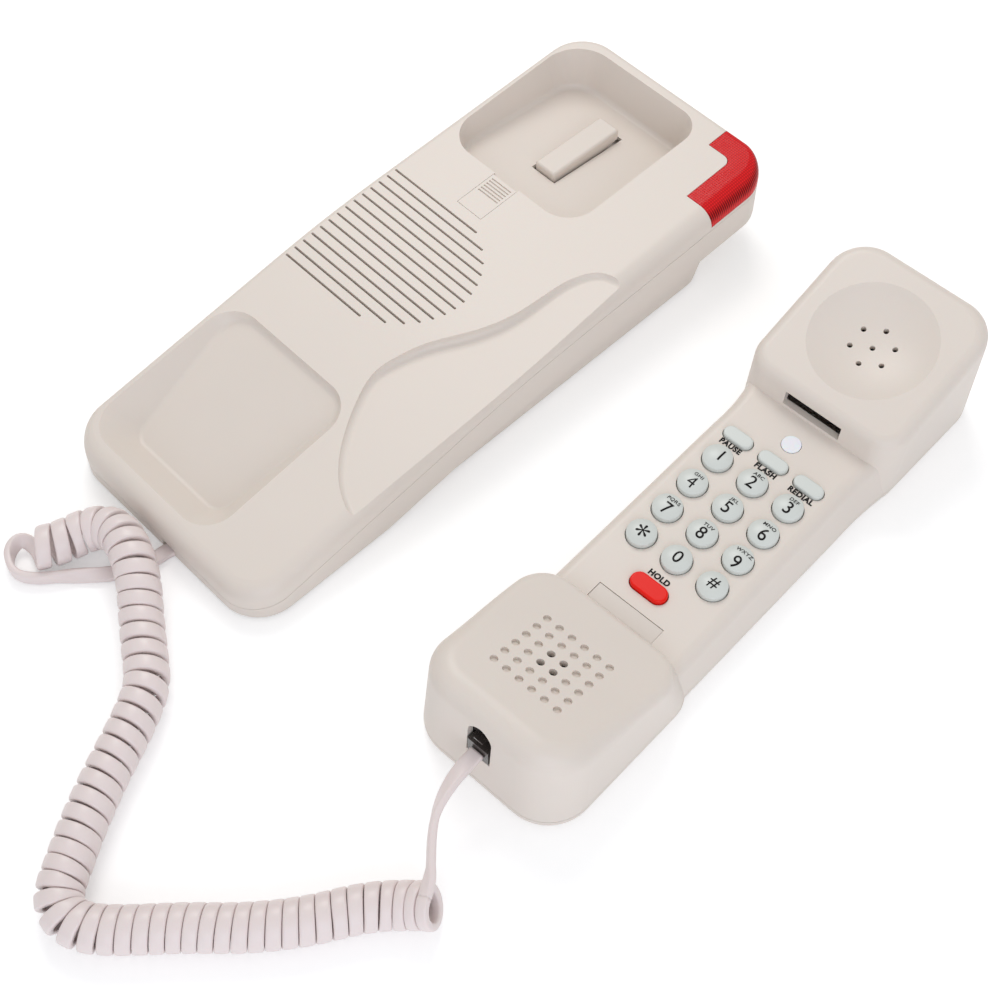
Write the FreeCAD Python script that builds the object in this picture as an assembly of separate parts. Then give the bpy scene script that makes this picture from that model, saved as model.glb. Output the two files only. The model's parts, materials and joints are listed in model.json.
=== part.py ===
import FreeCAD, Part
import bisect
import math
import os

# Slimline wall telephone: a long low cradle, a handset with the keypad between its ends, and a curly cord.
# Units are millimetres. +Y points to the lamp end of the cradle, +X to its right, +Z up from the table.
# The origin is the centre of the cradle's footprint on the table.

V = FreeCAD.Vector
REACH = 400.0

# Cradle housing
BASE_LENGTH = 228.7
BASE_WIDTH = 90.6
BASE_CORNER = 14.0
CREST_Y = -5.2
CREST_Z = 29.0
NEAR_SLOPE = 8.5
FAR_SLOPE = 2.3
CREST_BLEND = 20.7
SHARP_EDGE = 2.0
SOFT_EDGE = 6.0
COVER_DEPTH = 7.5
HOUSING_DEPTH = 19.7
BASE_WALL = 2.2
BASE_FLOOR = 1.8
SEAM_GAP = 0.2
FOOT_PROUD = 1.0
FIT_GAP = 0.15

# Handset wells in the cradle
WELL_LEFT = -42.9
WELL_RIGHT = 16.2
WELL_WALL = 1.6
EAR_WELL_NEAR = 45.9
EAR_WELL_FAR = 109.6
EAR_WELL_NEAR_DEPTH = 8.0
EAR_WELL_FAR_DEPTH = 15.8
EAR_WELL_CORNERS = (12.0, 11.5, 9.0, 14.0)
EAR_WELL_DRAFT = 0.2
EAR_WELL_RIB = ((-44.0, -38.0), (97.0, 106.0), (27.0, 40.0))
MOUTH_WELL_NEAR = -107.7
MOUTH_WELL_FAR = -46.9
MOUTH_WELL_CORNER = 11.0
MOUTH_WELL_DRAFT = 0.9
MOUTH_WELL_FAR_DRAFT = 0.3
MOUTH_WELL_FAR_DEPTH = 2.4
MOUTH_WELL_NEAR_DEPTH = 10.1
MOUTH_WELL_VALLEY = -97.6
WELL_FLOOR_ROUND = 2.0

# Sound slots
SLOT_COUNT = 14
SLOT_PITCH = 3.69
SLOT_WIDTH = 0.8
SLOT_LEFT = -43.2
SLOT_FIRST_Y = 24.1
SLOT_TIP = 13.5
SLOT_TIP_ROW = 6.35
SLOT_CURVE_REACH = 33.0
SLOT_CURVE_RADIUS = 26.5

# Finger scoop on the right side
SCOOP_EDGE = ((-74.6, 52.0), (-73.0, 41.5), (-67.6, 31.2), (-60.3, 24.0), (-53.1, 19.1), (-43.4, 14.1),
              (-34.7, 11.5), (-25.4, 12.9), (-15.8, 16.4), (-7.5, 21.2), (4.6, 26.8), (15.5, 29.0),
              (27.7, 30.1), (34.8, 32.0), (40.4, 36.0), (42.6, 43.5), (42.6, 52.0))
SCOOP_NEAR = (-73.7, 1.3)
SCOOP_MIDDLE = (-16.0, 3.2)
SCOOP_FAR = (41.8, 1.6)
SCOOP_FOOT = 2.0

# Handset tab
TAB_LEFT = -18.3
TAB_RIGHT = -7.4
TAB_NEAR = 29.0
TAB_THICKNESS = 1.4
TAB_FOOT_THICKNESS = 1.2
TAB_FOOT_EXTRA = 1.2
TAB_RIDGES = 6
TAB_RIDGE_PITCH = 1.25
TAB_RIDGE_DEPTH = 0.4

# Hook lever
LEVER_X = -12.9
LEVER_WIDTH = 9.0
LEVER_SLOT_WIDTH = 10.8
LEVER_SLOT_NEAR = 63.3
LEVER_SLOT_FAR = 96.4
LEVER_PIVOT_Y = 61.0
LEVER_PIVOT_Z = 17.6
LEVER_PIN_RADIUS = 1.0
LEVER_BORE_GAP = 0.06
LEVER_BOSS_RADIUS = 2.0
LEVER_TOP_NEAR = 24.5
LEVER_TOP_FAR = 23.5
LEVER_TAIL_END = 39.0
LEVER_POST_WIDTH = 2.2
SPRING_WIRE = 0.6
SPRING_TURNS = 3.0
SPRING_PITCH = 0.8

# Message lamp
LENS_X = 33.7
LENS_Y = 104.5
LENS_ARM_NEAR = 83.0
LENS_ARM_LEFT = 23.7
LENS_WALL = 2.0
LENS_ABOVE_SEAM = 1.5
LENS_INNER_CORNER = 3.0
LAMP_X = 36.5
LAMP_Y = 98.0
LED_RADIUS = 2.5
LED_HEIGHT = 4.0
LAMP_BOARD_Z = 25.0
LAMP_BOARD_SIZE = (8.0, 15.0)

# Wall bracket
BRACKET_HALF_WIDTH = 43.2
BRACKET_NEAR = -71.4
BRACKET_FAR = 84.9
BRACKET_FAR_LEAN = 5.0
BRACKET_CORNER = 8.0
BRACKET_WALL = 2.0
BRACKET_PLATE = 1.6
STUD_SPACING = 101.6
STUD_MID_Y = 12.0
STUD_SLOT_RADIUS = 2.6
STUD_HEAD_RADIUS = 5.0
STUD_DROP = 8.0
STUD_HEAD_ROOM = 5.6

# Parts inside the cradle
BOARD_THICKNESS = 1.6
BOARD_LEFT = -31.0
BOARD_RIGHT = 34.0
BOARD_NEAR = -40.0
BOARD_FAR = 34.0
BOARD_Z = 15.0
BOARD_POST_RADIUS = 2.5
BOARD_POST_INSET = 3.5
RINGER_RADIUS = 19.0
RINGER_HEIGHT = 7.0
RINGER_X = -11.0
RINGER_Y = 2.0
BALLAST_SIZE = (50.0, 20.0, 3.5)
BALLAST_X = 1.0
BALLAST_Y = -19.0
BALLAST_TILT = 7.2
REST_GAP = 0.05
SWITCH_SIZE = (8.0, 7.0)
SWITCH_NEAR = 36.2
SWITCH_GAP = 0.3
SCREW_PLACES = ((-36.0, -36.0), (-36.0, 36.0), (37.0, -80.0), (30.0, 70.0))
SCREW_BOSS_RADIUS = 3.2
SCREW_RADIUS = 1.3
SCREW_HEAD_RADIUS = 2.6
SCREW_HEAD_HEIGHT = 1.6
SCREW_LENGTH = 9.0
FOOT_RADIUS = 4.5
FOOT_THICKNESS = 1.8
NEAR_FEET_Y = -101.0
FAR_FEET_Y = 72.0
FEET_X = 34.0
LINE_JACK_X = 28.0
LINE_JACK_SIZE = (13.0, 13.0, 9.0)
LINE_JACK_OPENING = (9.8, 6.8)

# Modular plugs and jacks
PLUG_WIDTH = 7.65
PLUG_HEIGHT = 6.6
PLUG_LENGTH = 11.7
PLUG_GAP = 0.2
JACK_WALL = 1.3
JACK_LENGTH = 12.5
BASE_JACK_INSET = 3.6

# Cord
CORD_DIAMETER = 3.2
COIL_OUTER = 13.5
COIL_GAP = 0.62
COIL_RUN_PITCH = 3.9
COIL_RISE_PITCH = 4.9
COIL_RISE_START = 118.0
COIL_RISE_END = 205.0
COIL_TAIL_PITCH = 7.0
COIL_TAIL_LENGTH = 7.5
COIL_STEP = 0.5
COIL_BEND_REACH = 3.0
COIL_START_ANGLE = 90.0
COIL_END_ANGLE = 270.0
COIL_STRAIGHT = 3.2
HANDSET_LEAD_END_RUN = 5.0
BASE_LEAD_END_RUN = 3.8
CHANNEL_WIDTH = 5.6
CHANNEL_HEIGHT = 4.4
CHANNEL_ROOF = 1.0
BASE_PLUG_X = 24.0
BASE_PLUG_TAIL = -91.5
BASE_PLUG_Z = 1.6
COIL_LEVEL = COIL_OUTER / 2.0 + 0.05
LEAD_LEVEL = CORD_DIAMETER / 2.0 + 0.05
COIL_ROUTE = (
    (146.3, -135.8, 10.2), (140.8, -138.9, COIL_LEVEL), (132.5, -148.5, COIL_LEVEL),
    (125.0, -162.0, COIL_LEVEL), (115.0, -175.0, COIL_LEVEL), (103.5, -186.5, COIL_LEVEL),
    (96.5, -194.5, COIL_LEVEL), (91.0, -200.4, COIL_LEVEL), (86.2, -204.8, COIL_LEVEL),
    (80.6, -207.5, COIL_LEVEL), (75.0, -206.8, COIL_LEVEL), (71.0, -203.0, COIL_LEVEL),
    (68.0, -198.3, COIL_LEVEL), (62.0, -189.5, COIL_LEVEL), (54.5, -176.5, COIL_LEVEL),
    (48.0, -163.0, COIL_LEVEL), (43.0, -154.0, COIL_LEVEL), (38.5, -148.0, COIL_LEVEL),
    (29.0, -142.0, COIL_LEVEL), (20.0, -136.0, 7.2), (12.5, -130.5, 9.2), (6.0, -127.0, 11.0),
    (-1.0, -124.6, 11.0), (-7.0, -123.8, 9.8), (-12.0, -125.8, 8.4), (-15.0, -130.0, 7.2),
    (-16.0, -135.5, COIL_LEVEL), (-17.2, -140.0, COIL_LEVEL), (-18.8, -143.2, COIL_LEVEL),
)
HANDSET_LEAD = (
    (125.4, -99.85, 20.0), (125.8, -106.5, 19.7), (127.2, -113.0, 19.0), (129.6, -119.2, 18.0),
    (133.6, -124.6, 16.7),
)
BASE_LEAD = (
    (24.0, BASE_PLUG_TAIL, 3.3), (24.0, -92.7, 3.3), (24.0, -96.4, 2.3), (18.9, -104.6, 1.9),
    (10.0, -106.3, LEAD_LEVEL),
    (4.6, -113.3, LEAD_LEVEL), (4.2, -120.0, LEAD_LEVEL), (2.4, -127.0, LEAD_LEVEL),
    (-1.2, -133.2, LEAD_LEVEL), (-6.0, -139.0, LEAD_LEVEL), (-10.4, -144.2, LEAD_LEVEL),
    (-14.8, -150.0, LEAD_LEVEL), (-19.6, -153.1, LEAD_LEVEL), (-25.2, -152.1, LEAD_LEVEL),
    (-28.6, -148.4, LEAD_LEVEL), (-28.9, -144.1, LEAD_LEVEL),
)

# Handset
HANDSET_PLACE = (119.42, 3.78)
HANDSET_YAW = 3.302
HANDSET_NEAR = -104.5
HANDSET_FAR = 103.2
HANDSET_WALL = 2.2
HANDSET_SEAM = 4.6
HANDSET_BOTTOM_ROUND = 3.5
GRIP_HALF_WIDTH = 26.7
GRIP_TOP_HALF_WIDTH = 23.2
GRIP_ROUND = 4.0
KEYPAD_Z = 17.4
KEYPAD_TILT = 1.856
NECK_NEAR = 37.0
NECK_FAR = 55.0
GRIP_SECTIONS = (-62.0, -40.0, -18.0, 4.0, 26.0, NECK_NEAR)
NECK_FLARE = ((0.35, 0.28), (0.7, 0.8), (1.0, 1.0))
EAR_HALF_WIDTH = 28.2
EAR_NEAR = 46.6
EAR_NEAR_CORNER = 8.5
EAR_FAR_CORNER = 13.0
EAR_ROUND = 4.0
EAR_FACE_Y = 74.2
EAR_FACE_Z = 35.2
EAR_FACE_TILT = 14.1
EAR_BOWL_RADIUS = 20.3
EAR_BOWL_DEPTH = 5.3
EAR_HOLE_RADIUS = 0.9
EAR_HOLE_RING = 6.93
MOUTH_HALF_WIDTH = 28.6
MOUTH_INNER = -44.5
MOUTH_OUTER_CORNER = 14.5
MOUTH_INNER_CORNER = 11.0
MOUTH_FACE_Y = -73.25
MOUTH_FACE_Z = 29.6
MOUTH_FACE_TILT = -16.7
MOUTH_ROUND = 3.0
MOUTH_END_ROUND = 6.5
MOUTH_HOLE_PITCH = 4.63
MOUTH_HOLE_RADIUS = 1.25
MOUTH_HOLE_DEPTH = 1.0
HANG_SLOT_X = (-11.2, 9.8)
HANG_SLOT_Z = (20.0, 25.1)

# Keys
KEY_COLUMN_PITCH = 13.45
KEY_ROW_PITCH = 11.9
KEY_RADIUS = 4.7
KEY_EDGE_HEIGHT = 1.5
KEY_CROWN_HEIGHT = 2.8
KEY_TRAVEL = 1.2
KEY_GAP = 0.15
KEY_HOLE_GAP = 0.3
KEY_FLANGE_EXTRA = 0.9
KEY_FLANGE_THICKNESS = 0.9
FUNCTION_KEY_SIZE = (10.3, 4.8)
FUNCTION_KEY_HEIGHT = 1.3
FUNCTION_KEY_Y = 28.0
HOLD_KEY_SIZE = (12.8, 5.8)
HOLD_KEY_Y = -30.5
STATUS_LENS_RADIUS = 3.1
STATUS_LENS_Y = 37.0
STATUS_LENS_PROUD = 0.25
CARD_WINDOW = (24.2, 5.8)
CARD_WINDOW_Y = -41.0
CARD_WINDOW_DEPTH = 1.5
CARD_THICKNESS = 0.4
MEMBRANE_THICKNESS = 1.5
CONTACT_PAD_RADIUS = 2.6
HANDSET_BOARD_HALF_WIDTH = 20.5
CAPSULE_RADIUS = 17.0
CAPSULE_HEIGHT = 9.0
MICROPHONE_RADIUS = 4.85
MICROPHONE_HEIGHT = 6.0
HANDSET_PLUG_TOP = 23.6
JACK_ARCH_TOP = 31.5
JACK_ARCH_WIDTH = 8.6
HANDSET_SCREW_PLACES = ((0.0, -62.0, 25.0), (0.0, 44.6, 18.0))
HANDSET_SCREW_LOW = 0.4
HANDSET_BOARD_NEAR = -44.0
HANDSET_BOARD_FAR = 40.0
HANDSET_BOARD_Z = 7.0
HANDSET_JACK_INSET = 3.0


def save(shape, name):
    """Write one sub-part and report its volume."""
    shape.exportStep("parts/" + name + ".step")
    print(name, "valid", shape.isValid(), "solids", len(shape.Solids), "volume", round(shape.Volume, 1))


def box(x_range, y_range, z_range):
    size = [abs(pair[1] - pair[0]) for pair in (x_range, y_range, z_range)]
    return Part.makeBox(size[0], size[1], size[2], V(min(x_range), min(y_range), min(z_range)))


def post(x, y, z_low, z_high, radius):
    return Part.makeCylinder(radius, z_high - z_low, V(x, y, z_low))


def rounded_outline(x_range, y_range, corners, z):
    """Rectangle with four corner radii, in the order near left, near right, far right, far left."""
    x_low, x_high = x_range
    y_low, y_high = y_range
    near_left, near_right, far_right, far_left = corners
    turns = (
        (x_low + near_left, y_low + near_left, near_left, 180.0),
        (x_high - near_right, y_low + near_right, near_right, 270.0),
        (x_high - far_right, y_high - far_right, far_right, 0.0),
        (x_low + far_left, y_high - far_left, far_left, 90.0),
    )
    arcs = [Part.ArcOfCircle(Part.Circle(V(x, y, z), V(0, 0, 1), radius), math.radians(start),
                             math.radians(start + 90.0)) for x, y, radius, start in turns]
    edges = []
    for index, arc in enumerate(arcs):
        following = arcs[(index + 1) % len(arcs)]
        edges.append(arc.toShape())
        edges.append(Part.LineSegment(arc.EndPoint, following.StartPoint).toShape())
    return Part.Wire(edges)


def drafted_block(low, high):
    """Solid between two rounded outlines, each given as x range, y range, corners and height."""
    return Part.makeLoft([rounded_outline(*low), rounded_outline(*high)], True, True)


def side_slab(points, half_width=REACH):
    """Polygon of (y, z) points, run along X to both sides."""
    outline = Part.makePolygon([V(-half_width, y, z) for y, z in points + points[:1]])
    return Part.Face(outline).extrude(V(2.0 * half_width, 0, 0))


def tilted(shape, tilt, y, z):
    """Turn a shape about its own X axis and set it at the given height and place."""
    turned = shape.copy()
    turned.rotate(V(0, 0, 0), V(1, 0, 0), tilt)
    turned.translate(V(0, y, z))
    return turned


def edge_rounded(solid, picked):
    """Round the edges for which picked() gives the two end radii."""
    document = FreeCAD.newDocument("rounding")
    source = document.addObject("Part::Feature", "source")
    source.Shape = solid
    rounded = document.addObject("Part::Fillet", "rounded")
    rounded.Base = source
    choices = []
    for number, edge in enumerate(solid.Edges, 1):
        radii = picked(edge)
        if radii:
            choices.append((number, radii[0], radii[1]))
    rounded.Edges = choices
    document.recompute()
    shape = rounded.Shape.copy()
    FreeCAD.closeDocument(document.Name)
    return shape.Solids[0]


# Cradle surfaces


def crest_points():
    """Two tangent points and the middle of the arc that joins the two top slopes."""
    near = math.radians(NEAR_SLOPE)
    far = math.radians(FAR_SLOPE)
    half_turn = (near - far) / 2.0
    radius = CREST_BLEND / math.tan(half_turn)
    start = (CREST_Y - CREST_BLEND * math.cos(near), CREST_Z - CREST_BLEND * math.sin(near))
    end = (CREST_Y + CREST_BLEND * math.cos(far), CREST_Z + CREST_BLEND * math.sin(far))
    drop = radius / math.cos(half_turn) - radius
    lean = (near + far) / 2.0
    middle = (CREST_Y + drop * math.sin(lean), CREST_Z - drop * math.cos(lean))
    return start, middle, end


def top_height(y):
    """Height of the cradle's top at a distance along it."""
    start, middle, end = crest_points()
    if y <= start[0]:
        return start[1] + (y - start[0]) * math.tan(math.radians(NEAR_SLOPE))
    if y >= end[0]:
        return end[1] + (y - end[0]) * math.tan(math.radians(FAR_SLOPE))
    arc = Part.Arc(V(0, *start), V(0, *middle), V(0, *end))
    cut = Part.LineSegment(V(0, y, middle[1] - REACH), V(0, y, middle[1] + REACH))
    return arc.toShape().distToShape(cut.toShape())[1][0][0].z


def below_top(depth, half_width=REACH):
    """Everything lower than the top surface moved down by a depth."""
    start, middle, end = crest_points()
    near_y = -BASE_LENGTH
    far_y = BASE_LENGTH
    rise = [V(-half_width, near_y, top_height(near_y) - depth), V(-half_width, start[0], start[1] - depth),
            V(-half_width, middle[0], middle[1] - depth), V(-half_width, end[0], end[1] - depth),
            V(-half_width, far_y, top_height(far_y) - depth)]
    low_far = V(-half_width, far_y, -REACH)
    low_near = V(-half_width, near_y, -REACH)
    edges = [Part.LineSegment(rise[0], rise[1]).toShape(), Part.Arc(rise[1], rise[2], rise[3]).toShape(),
             Part.LineSegment(rise[3], rise[4]).toShape(), Part.LineSegment(rise[4], low_far).toShape(),
             Part.LineSegment(low_far, low_near).toShape(), Part.LineSegment(low_near, rise[0]).toShape()]
    return Part.Face(Part.Wire(edges)).extrude(V(2.0 * half_width, 0, 0))


def housing(inset):
    """Outer form of the cradle, or its inside where inset is the wall's thickness."""
    half_width = BASE_WIDTH / 2.0 - inset
    half_length = BASE_LENGTH / 2.0 - inset
    corner = BASE_CORNER - inset
    outline = rounded_outline((-half_width, half_width), (-half_length, half_length), (corner,) * 4, -10.0)
    block = Part.Face(outline).extrude(V(0, 0, 70.0)).common(below_top(inset))
    sharp = max(SHARP_EDGE - inset, 0.5)
    soft = max(SOFT_EDGE - inset, 0.5)

    def picked(edge):
        ends = [vertex.Point for vertex in (edge.Vertexes[0], edge.Vertexes[-1])]
        if any(abs(point.z - (top_height(point.y) - inset)) > 0.01 for point in ends):
            return None
        if max(abs(point.x) for point in ends) < half_width - corner + 0.01:
            if ends[0].y * ends[1].y < 0.0 or abs(abs(ends[0].y) - half_length) > 0.01:
                return None
        elif abs(ends[0].x + ends[1].x) < 0.01 and abs(abs(ends[0].y) - half_length) > corner / 2.0:
            return None
        return [soft if point.x > half_width - 0.01 or point.y < 0.01 - half_length else sharp
                for point in ends]

    return edge_rounded(block, picked)


def ear_well(grow):
    """Room for the ear end of the handset: a tub whose floor drops toward the lamp end."""
    near_floor = top_height(EAR_WELL_NEAR) - EAR_WELL_NEAR_DEPTH - grow
    far_floor = top_height(EAR_WELL_FAR) - EAR_WELL_FAR_DEPTH - grow
    slope = (far_floor - near_floor) / (EAR_WELL_FAR - EAR_WELL_NEAR)
    rim_z = top_height((EAR_WELL_NEAR + EAR_WELL_FAR) / 2.0)
    low_z = 10.0
    high_z = 45.0

    def outline(z):
        out = (z - rim_z) * EAR_WELL_DRAFT + grow
        corners = tuple(corner + out for corner in EAR_WELL_CORNERS)
        return (WELL_LEFT - out, WELL_RIGHT + out), (EAR_WELL_NEAR - out, EAR_WELL_FAR + out), corners, z

    tub = drafted_block(outline(low_z), outline(high_z))
    floor = side_slab([(-REACH, near_floor + slope * (-REACH - EAR_WELL_NEAR)),
                       (REACH, near_floor + slope * (REACH - EAR_WELL_NEAR)),
                       (REACH, -REACH), (-REACH, -REACH)])
    tub = tub.cut(floor).Solids[0]
    floor_edges = [edge for edge in tub.Edges if edge.BoundBox.ZMax < near_floor + 1.0]
    return tub.makeFillet(WELL_FLOOR_ROUND + grow, floor_edges)


def mouth_well(grow):
    """Room for the mouth end of the handset: a tray sunk in the near slope, deepest near its end."""
    tilt = math.radians(NEAR_SLOPE)
    stretch = 1.0 / math.cos(tilt)
    near = (MOUTH_WELL_NEAR - MOUTH_WELL_FAR) * stretch
    valley = (MOUTH_WELL_VALLEY - MOUTH_WELL_FAR) * stretch
    slope = (MOUTH_WELL_FAR_DEPTH - MOUTH_WELL_NEAR_DEPTH) / valley
    bottom = -(MOUTH_WELL_NEAR_DEPTH + 2.0)

    def outline(z):
        out = z * MOUTH_WELL_DRAFT + grow
        out_far = z * MOUTH_WELL_FAR_DRAFT + grow
        corner = MOUTH_WELL_CORNER + z * 0.6 + grow
        return (WELL_LEFT - out, WELL_RIGHT + out), (near - out, out_far), (corner,) * 4, z

    walls = drafted_block(outline(bottom), outline(0.0))
    mouth = Part.Face(rounded_outline(*outline(0.0))).extrude(V(0, 0, 25.0))
    floor = side_slab([(-REACH, -MOUTH_WELL_FAR_DEPTH - grow - slope * REACH),
                       (REACH, -MOUTH_WELL_FAR_DEPTH - grow + slope * REACH),
                       (REACH, -REACH), (-REACH, -REACH)])
    tray = walls.cut(floor).Solids[0]
    floor_face = [face for face in tray.Faces if abs(face.normalAt(0, 0).x) < 0.01
                  and face.normalAt(0, 0).z < -0.9][0]
    tray = tray.makeFillet(WELL_FLOOR_ROUND + grow, floor_face.Edges)
    return tilted(tray.fuse(mouth).removeSplitter(), NEAR_SLOPE, MOUTH_WELL_FAR, top_height(MOUTH_WELL_FAR))


def finger_scoop(grow):
    """Shallow hollow beside the wells, open to the right, for the fingers that lift the handset."""
    rim = Part.BSplineCurve()
    points = [V(x - grow, y + math.copysign(grow, y) * (x > 40.0), 0) for y, x in SCOOP_EDGE]
    rim.interpolate(points)
    outline = Part.Wire([rim.toShape(), Part.LineSegment(points[-1], points[0]).toShape()])
    floor_line = Part.Circle(*[V(-REACH, y, top_height(y) - depth - grow)
                               for y, depth in (SCOOP_NEAR, SCOOP_MIDDLE, SCOOP_FAR)])
    floor = Part.makeCylinder(floor_line.Radius, 2.0 * REACH, floor_line.Center, V(1, 0, 0))
    floor.rotate(floor_line.Center, V(1, 0, 0), 90.0)
    pocket = Part.Face(outline).extrude(V(0, 0, 60.0)).cut(floor).Solids[0]
    foot = [edge for edge in pocket.Edges if edge.BoundBox.ZMax < 40.0 and edge.BoundBox.XLength > 20.0]
    return pocket.makeFillet(SCOOP_FOOT + grow / 2.0, foot)


def sound_slots():
    tools = []
    for row in range(SLOT_COUNT):
        y = SLOT_FIRST_Y - row * SLOT_PITCH
        off = (row - SLOT_TIP_ROW) * SLOT_PITCH / SLOT_CURVE_RADIUS
        right = SLOT_TIP - SLOT_CURVE_REACH * (1.0 - math.sqrt(1.0 - off * off))
        half = SLOT_WIDTH / 2.0
        corners = (half * 0.98,) * 4
        outline = rounded_outline((SLOT_LEFT, right), (y - half, y + half), corners, 20.0)
        tools.append(Part.Face(outline).extrude(V(0, 0, 20.0)))
    return Part.makeCompound(tools)


def lens_region(grow):
    """Corner of the housing that the lamp lens fills."""
    far = BASE_LENGTH
    arm = box((LENS_X - grow, 80.0), (LENS_ARM_NEAR - grow, far), (0, 60))
    end = box((LENS_ARM_LEFT - grow, 80.0), (LENS_Y - grow, far), (0, 60))
    corner = LENS_INNER_CORNER
    web = box((LENS_X - grow - corner, LENS_X - grow), (LENS_Y - grow - corner, LENS_Y - grow), (0, 60))
    web = web.cut(post(LENS_X - grow - corner, LENS_Y - grow - corner, 0, 60, corner))
    return arm.fuse([end, web]).cut(below_top(COVER_DEPTH - LENS_ABOVE_SEAM + grow))


def tab_room(grow):
    """T-shaped way in which the handset tab slides, open toward the ear well."""
    surface = top_height(TAB_NEAR)
    foot_top = -TAB_THICKNESS + grow
    foot_low = -TAB_THICKNESS - TAB_FOOT_THICKNESS - grow
    length = EAR_WELL_NEAR - 0.6 - TAB_NEAR
    past = 0.0 if grow == 0.0 else 12.0
    upper = box((TAB_LEFT - grow, TAB_RIGHT + grow), (-grow, length + past), (foot_low, 6.0))
    foot = box((TAB_LEFT - TAB_FOOT_EXTRA - grow, TAB_RIGHT + TAB_FOOT_EXTRA + grow),
               (-grow, length + past), (foot_low, foot_top))
    if grow == 0.0:
        upper = upper.cut(box((-REACH, REACH), (-REACH, REACH), (0.0, 20.0)))
    return tilted(upper.fuse(foot).removeSplitter(), FAR_SLOPE, TAB_NEAR, surface)


# Cradle parts


def make_top_cover(outer, inner):
    above_seam = outer.cut(below_top(COVER_DEPTH))
    shell = above_seam.cut(inner)
    skins = [ear_well(WELL_WALL), mouth_well(WELL_WALL), finger_scoop(BASE_WALL)]
    skins.append(box(*EAR_WELL_RIB))
    for skin in skins:
        shell = shell.fuse(skin.common(outer))
    pad = tilted(box((TAB_LEFT - 4.0, TAB_RIGHT + 4.0), (-2.0, EAR_WELL_NEAR - TAB_NEAR),
                     (-TAB_THICKNESS - TAB_FOOT_THICKNESS - 1.6, -1.0)), FAR_SLOPE, TAB_NEAR,
                 top_height(TAB_NEAR))
    shell = shell.fuse(pad)
    for x, y in SCREW_PLACES:
        boss = post(x, y, floor_height(y + SCREW_BOSS_RADIUS) + FIT_GAP, top_height(y) - BASE_WALL / 2.0,
                    SCREW_BOSS_RADIUS)
        shell = shell.fuse(boss)
        shell = shell.cut(post(x, y, 0, floor_height(y) + SCREW_LENGTH, SCREW_RADIUS))
    shell = shell.cut(ear_well(0.0)).cut(mouth_well(0.0)).cut(finger_scoop(0.0))
    shell = shell.cut(tab_room(FIT_GAP)).cut(sound_slots()).cut(lens_region(FIT_GAP))
    lever_slot = box((LEVER_X - LEVER_SLOT_WIDTH / 2.0, LEVER_X + LEVER_SLOT_WIDTH / 2.0),
                     (LEVER_SLOT_NEAR, LEVER_SLOT_FAR), (10.0, 27.0))
    shell = shell.cut(lever_slot)
    return max(shell.Solids, key=lambda solid: solid.Volume)


def floor_height(y):
    """Height of the upper side of the cradle's floor."""
    return max(top_height(y) - HOUSING_DEPTH, FOOT_PROUD) + BASE_FLOOR


def make_bottom_cover(outer, inner):
    lowest = box((-REACH, REACH), (-REACH, REACH), (-20.0, FOOT_PROUD))
    body = outer.common(below_top(COVER_DEPTH + SEAM_GAP)).cut(below_top(HOUSING_DEPTH)).cut(lowest)
    room = inner.cut(below_top(HOUSING_DEPTH - BASE_FLOOR))
    room = room.cut(box((-REACH, REACH), (-REACH, REACH), (-20.0, FOOT_PROUD + BASE_FLOOR)))
    body = body.cut(room)
    near_stud = STUD_MID_Y - STUD_SPACING / 2.0
    stud_dome = box((-STUD_HEAD_RADIUS - 3.2, STUD_HEAD_RADIUS + 3.2),
                    (near_stud - STUD_DROP - STUD_HEAD_RADIUS - 3.2, near_stud + STUD_HEAD_RADIUS + 3.2),
                    (FOOT_PROUD + 1.0, FOOT_PROUD + BRACKET_PLATE + STUD_HEAD_ROOM))
    adds = [stud_dome.cut(below_top(HOUSING_DEPTH)), plug_well(True).common(below_top(BASE_WALL + FIT_GAP)),
            cord_channel(True)]
    for x in (BOARD_LEFT + BOARD_POST_INSET, BOARD_RIGHT - BOARD_POST_INSET):
        for y in (BOARD_NEAR + BOARD_POST_INSET, BOARD_FAR - BOARD_POST_INSET):
            adds.append(post(x, y, floor_height(y) - 1.0, BOARD_Z, BOARD_POST_RADIUS))
    adds.append(post(LAMP_X + 1.5, LAMP_Y - 7.0, floor_height(LAMP_Y) - 1.0, LAMP_BOARD_Z, BOARD_POST_RADIUS))
    for left in (LEVER_X - LEVER_WIDTH / 2.0 - 0.5 - LEVER_POST_WIDTH, LEVER_X + LEVER_WIDTH / 2.0 + 3.8):
        adds.append(box((left, left + LEVER_POST_WIDTH), (LEVER_PIVOT_Y - 2.2, LEVER_PIVOT_Y + 2.2),
                        (floor_height(LEVER_PIVOT_Y) - 1.0, LEVER_PIVOT_Z + 1.9)))
    for add in adds:
        body = body.fuse(add)
    stud_room = box((-STUD_HEAD_RADIUS - 1.6, STUD_HEAD_RADIUS + 1.6),
                    (near_stud - STUD_DROP - STUD_HEAD_RADIUS - 1.6, near_stud + STUD_HEAD_RADIUS + 1.6),
                    (0.0, FOOT_PROUD + BRACKET_PLATE + STUD_HEAD_ROOM - 1.6))
    body = body.cut(stud_room).cut(plug_well(False)).cut(cord_channel(False))
    body = body.cut(lever_axle(LEVER_PIN_RADIUS))
    for x, y in SCREW_PLACES:
        rim = floor_height(y) - BASE_FLOOR
        body = body.cut(post(x, y, rim - 1.0, rim + BASE_FLOOR + 1.0, SCREW_RADIUS + FIT_GAP))
        body = body.cut(post(x, y, 0.0, rim + SCREW_HEAD_HEIGHT / 2.0, SCREW_HEAD_RADIUS + FIT_GAP))
    for x in (-FEET_X, FEET_X):
        body = body.cut(post(x, NEAR_FEET_Y, 0.0, FOOT_THICKNESS, FOOT_RADIUS + FIT_GAP))
    body = body.cut(line_jack_block(FIT_GAP))
    return max(body.Solids, key=lambda solid: solid.Volume)


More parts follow.
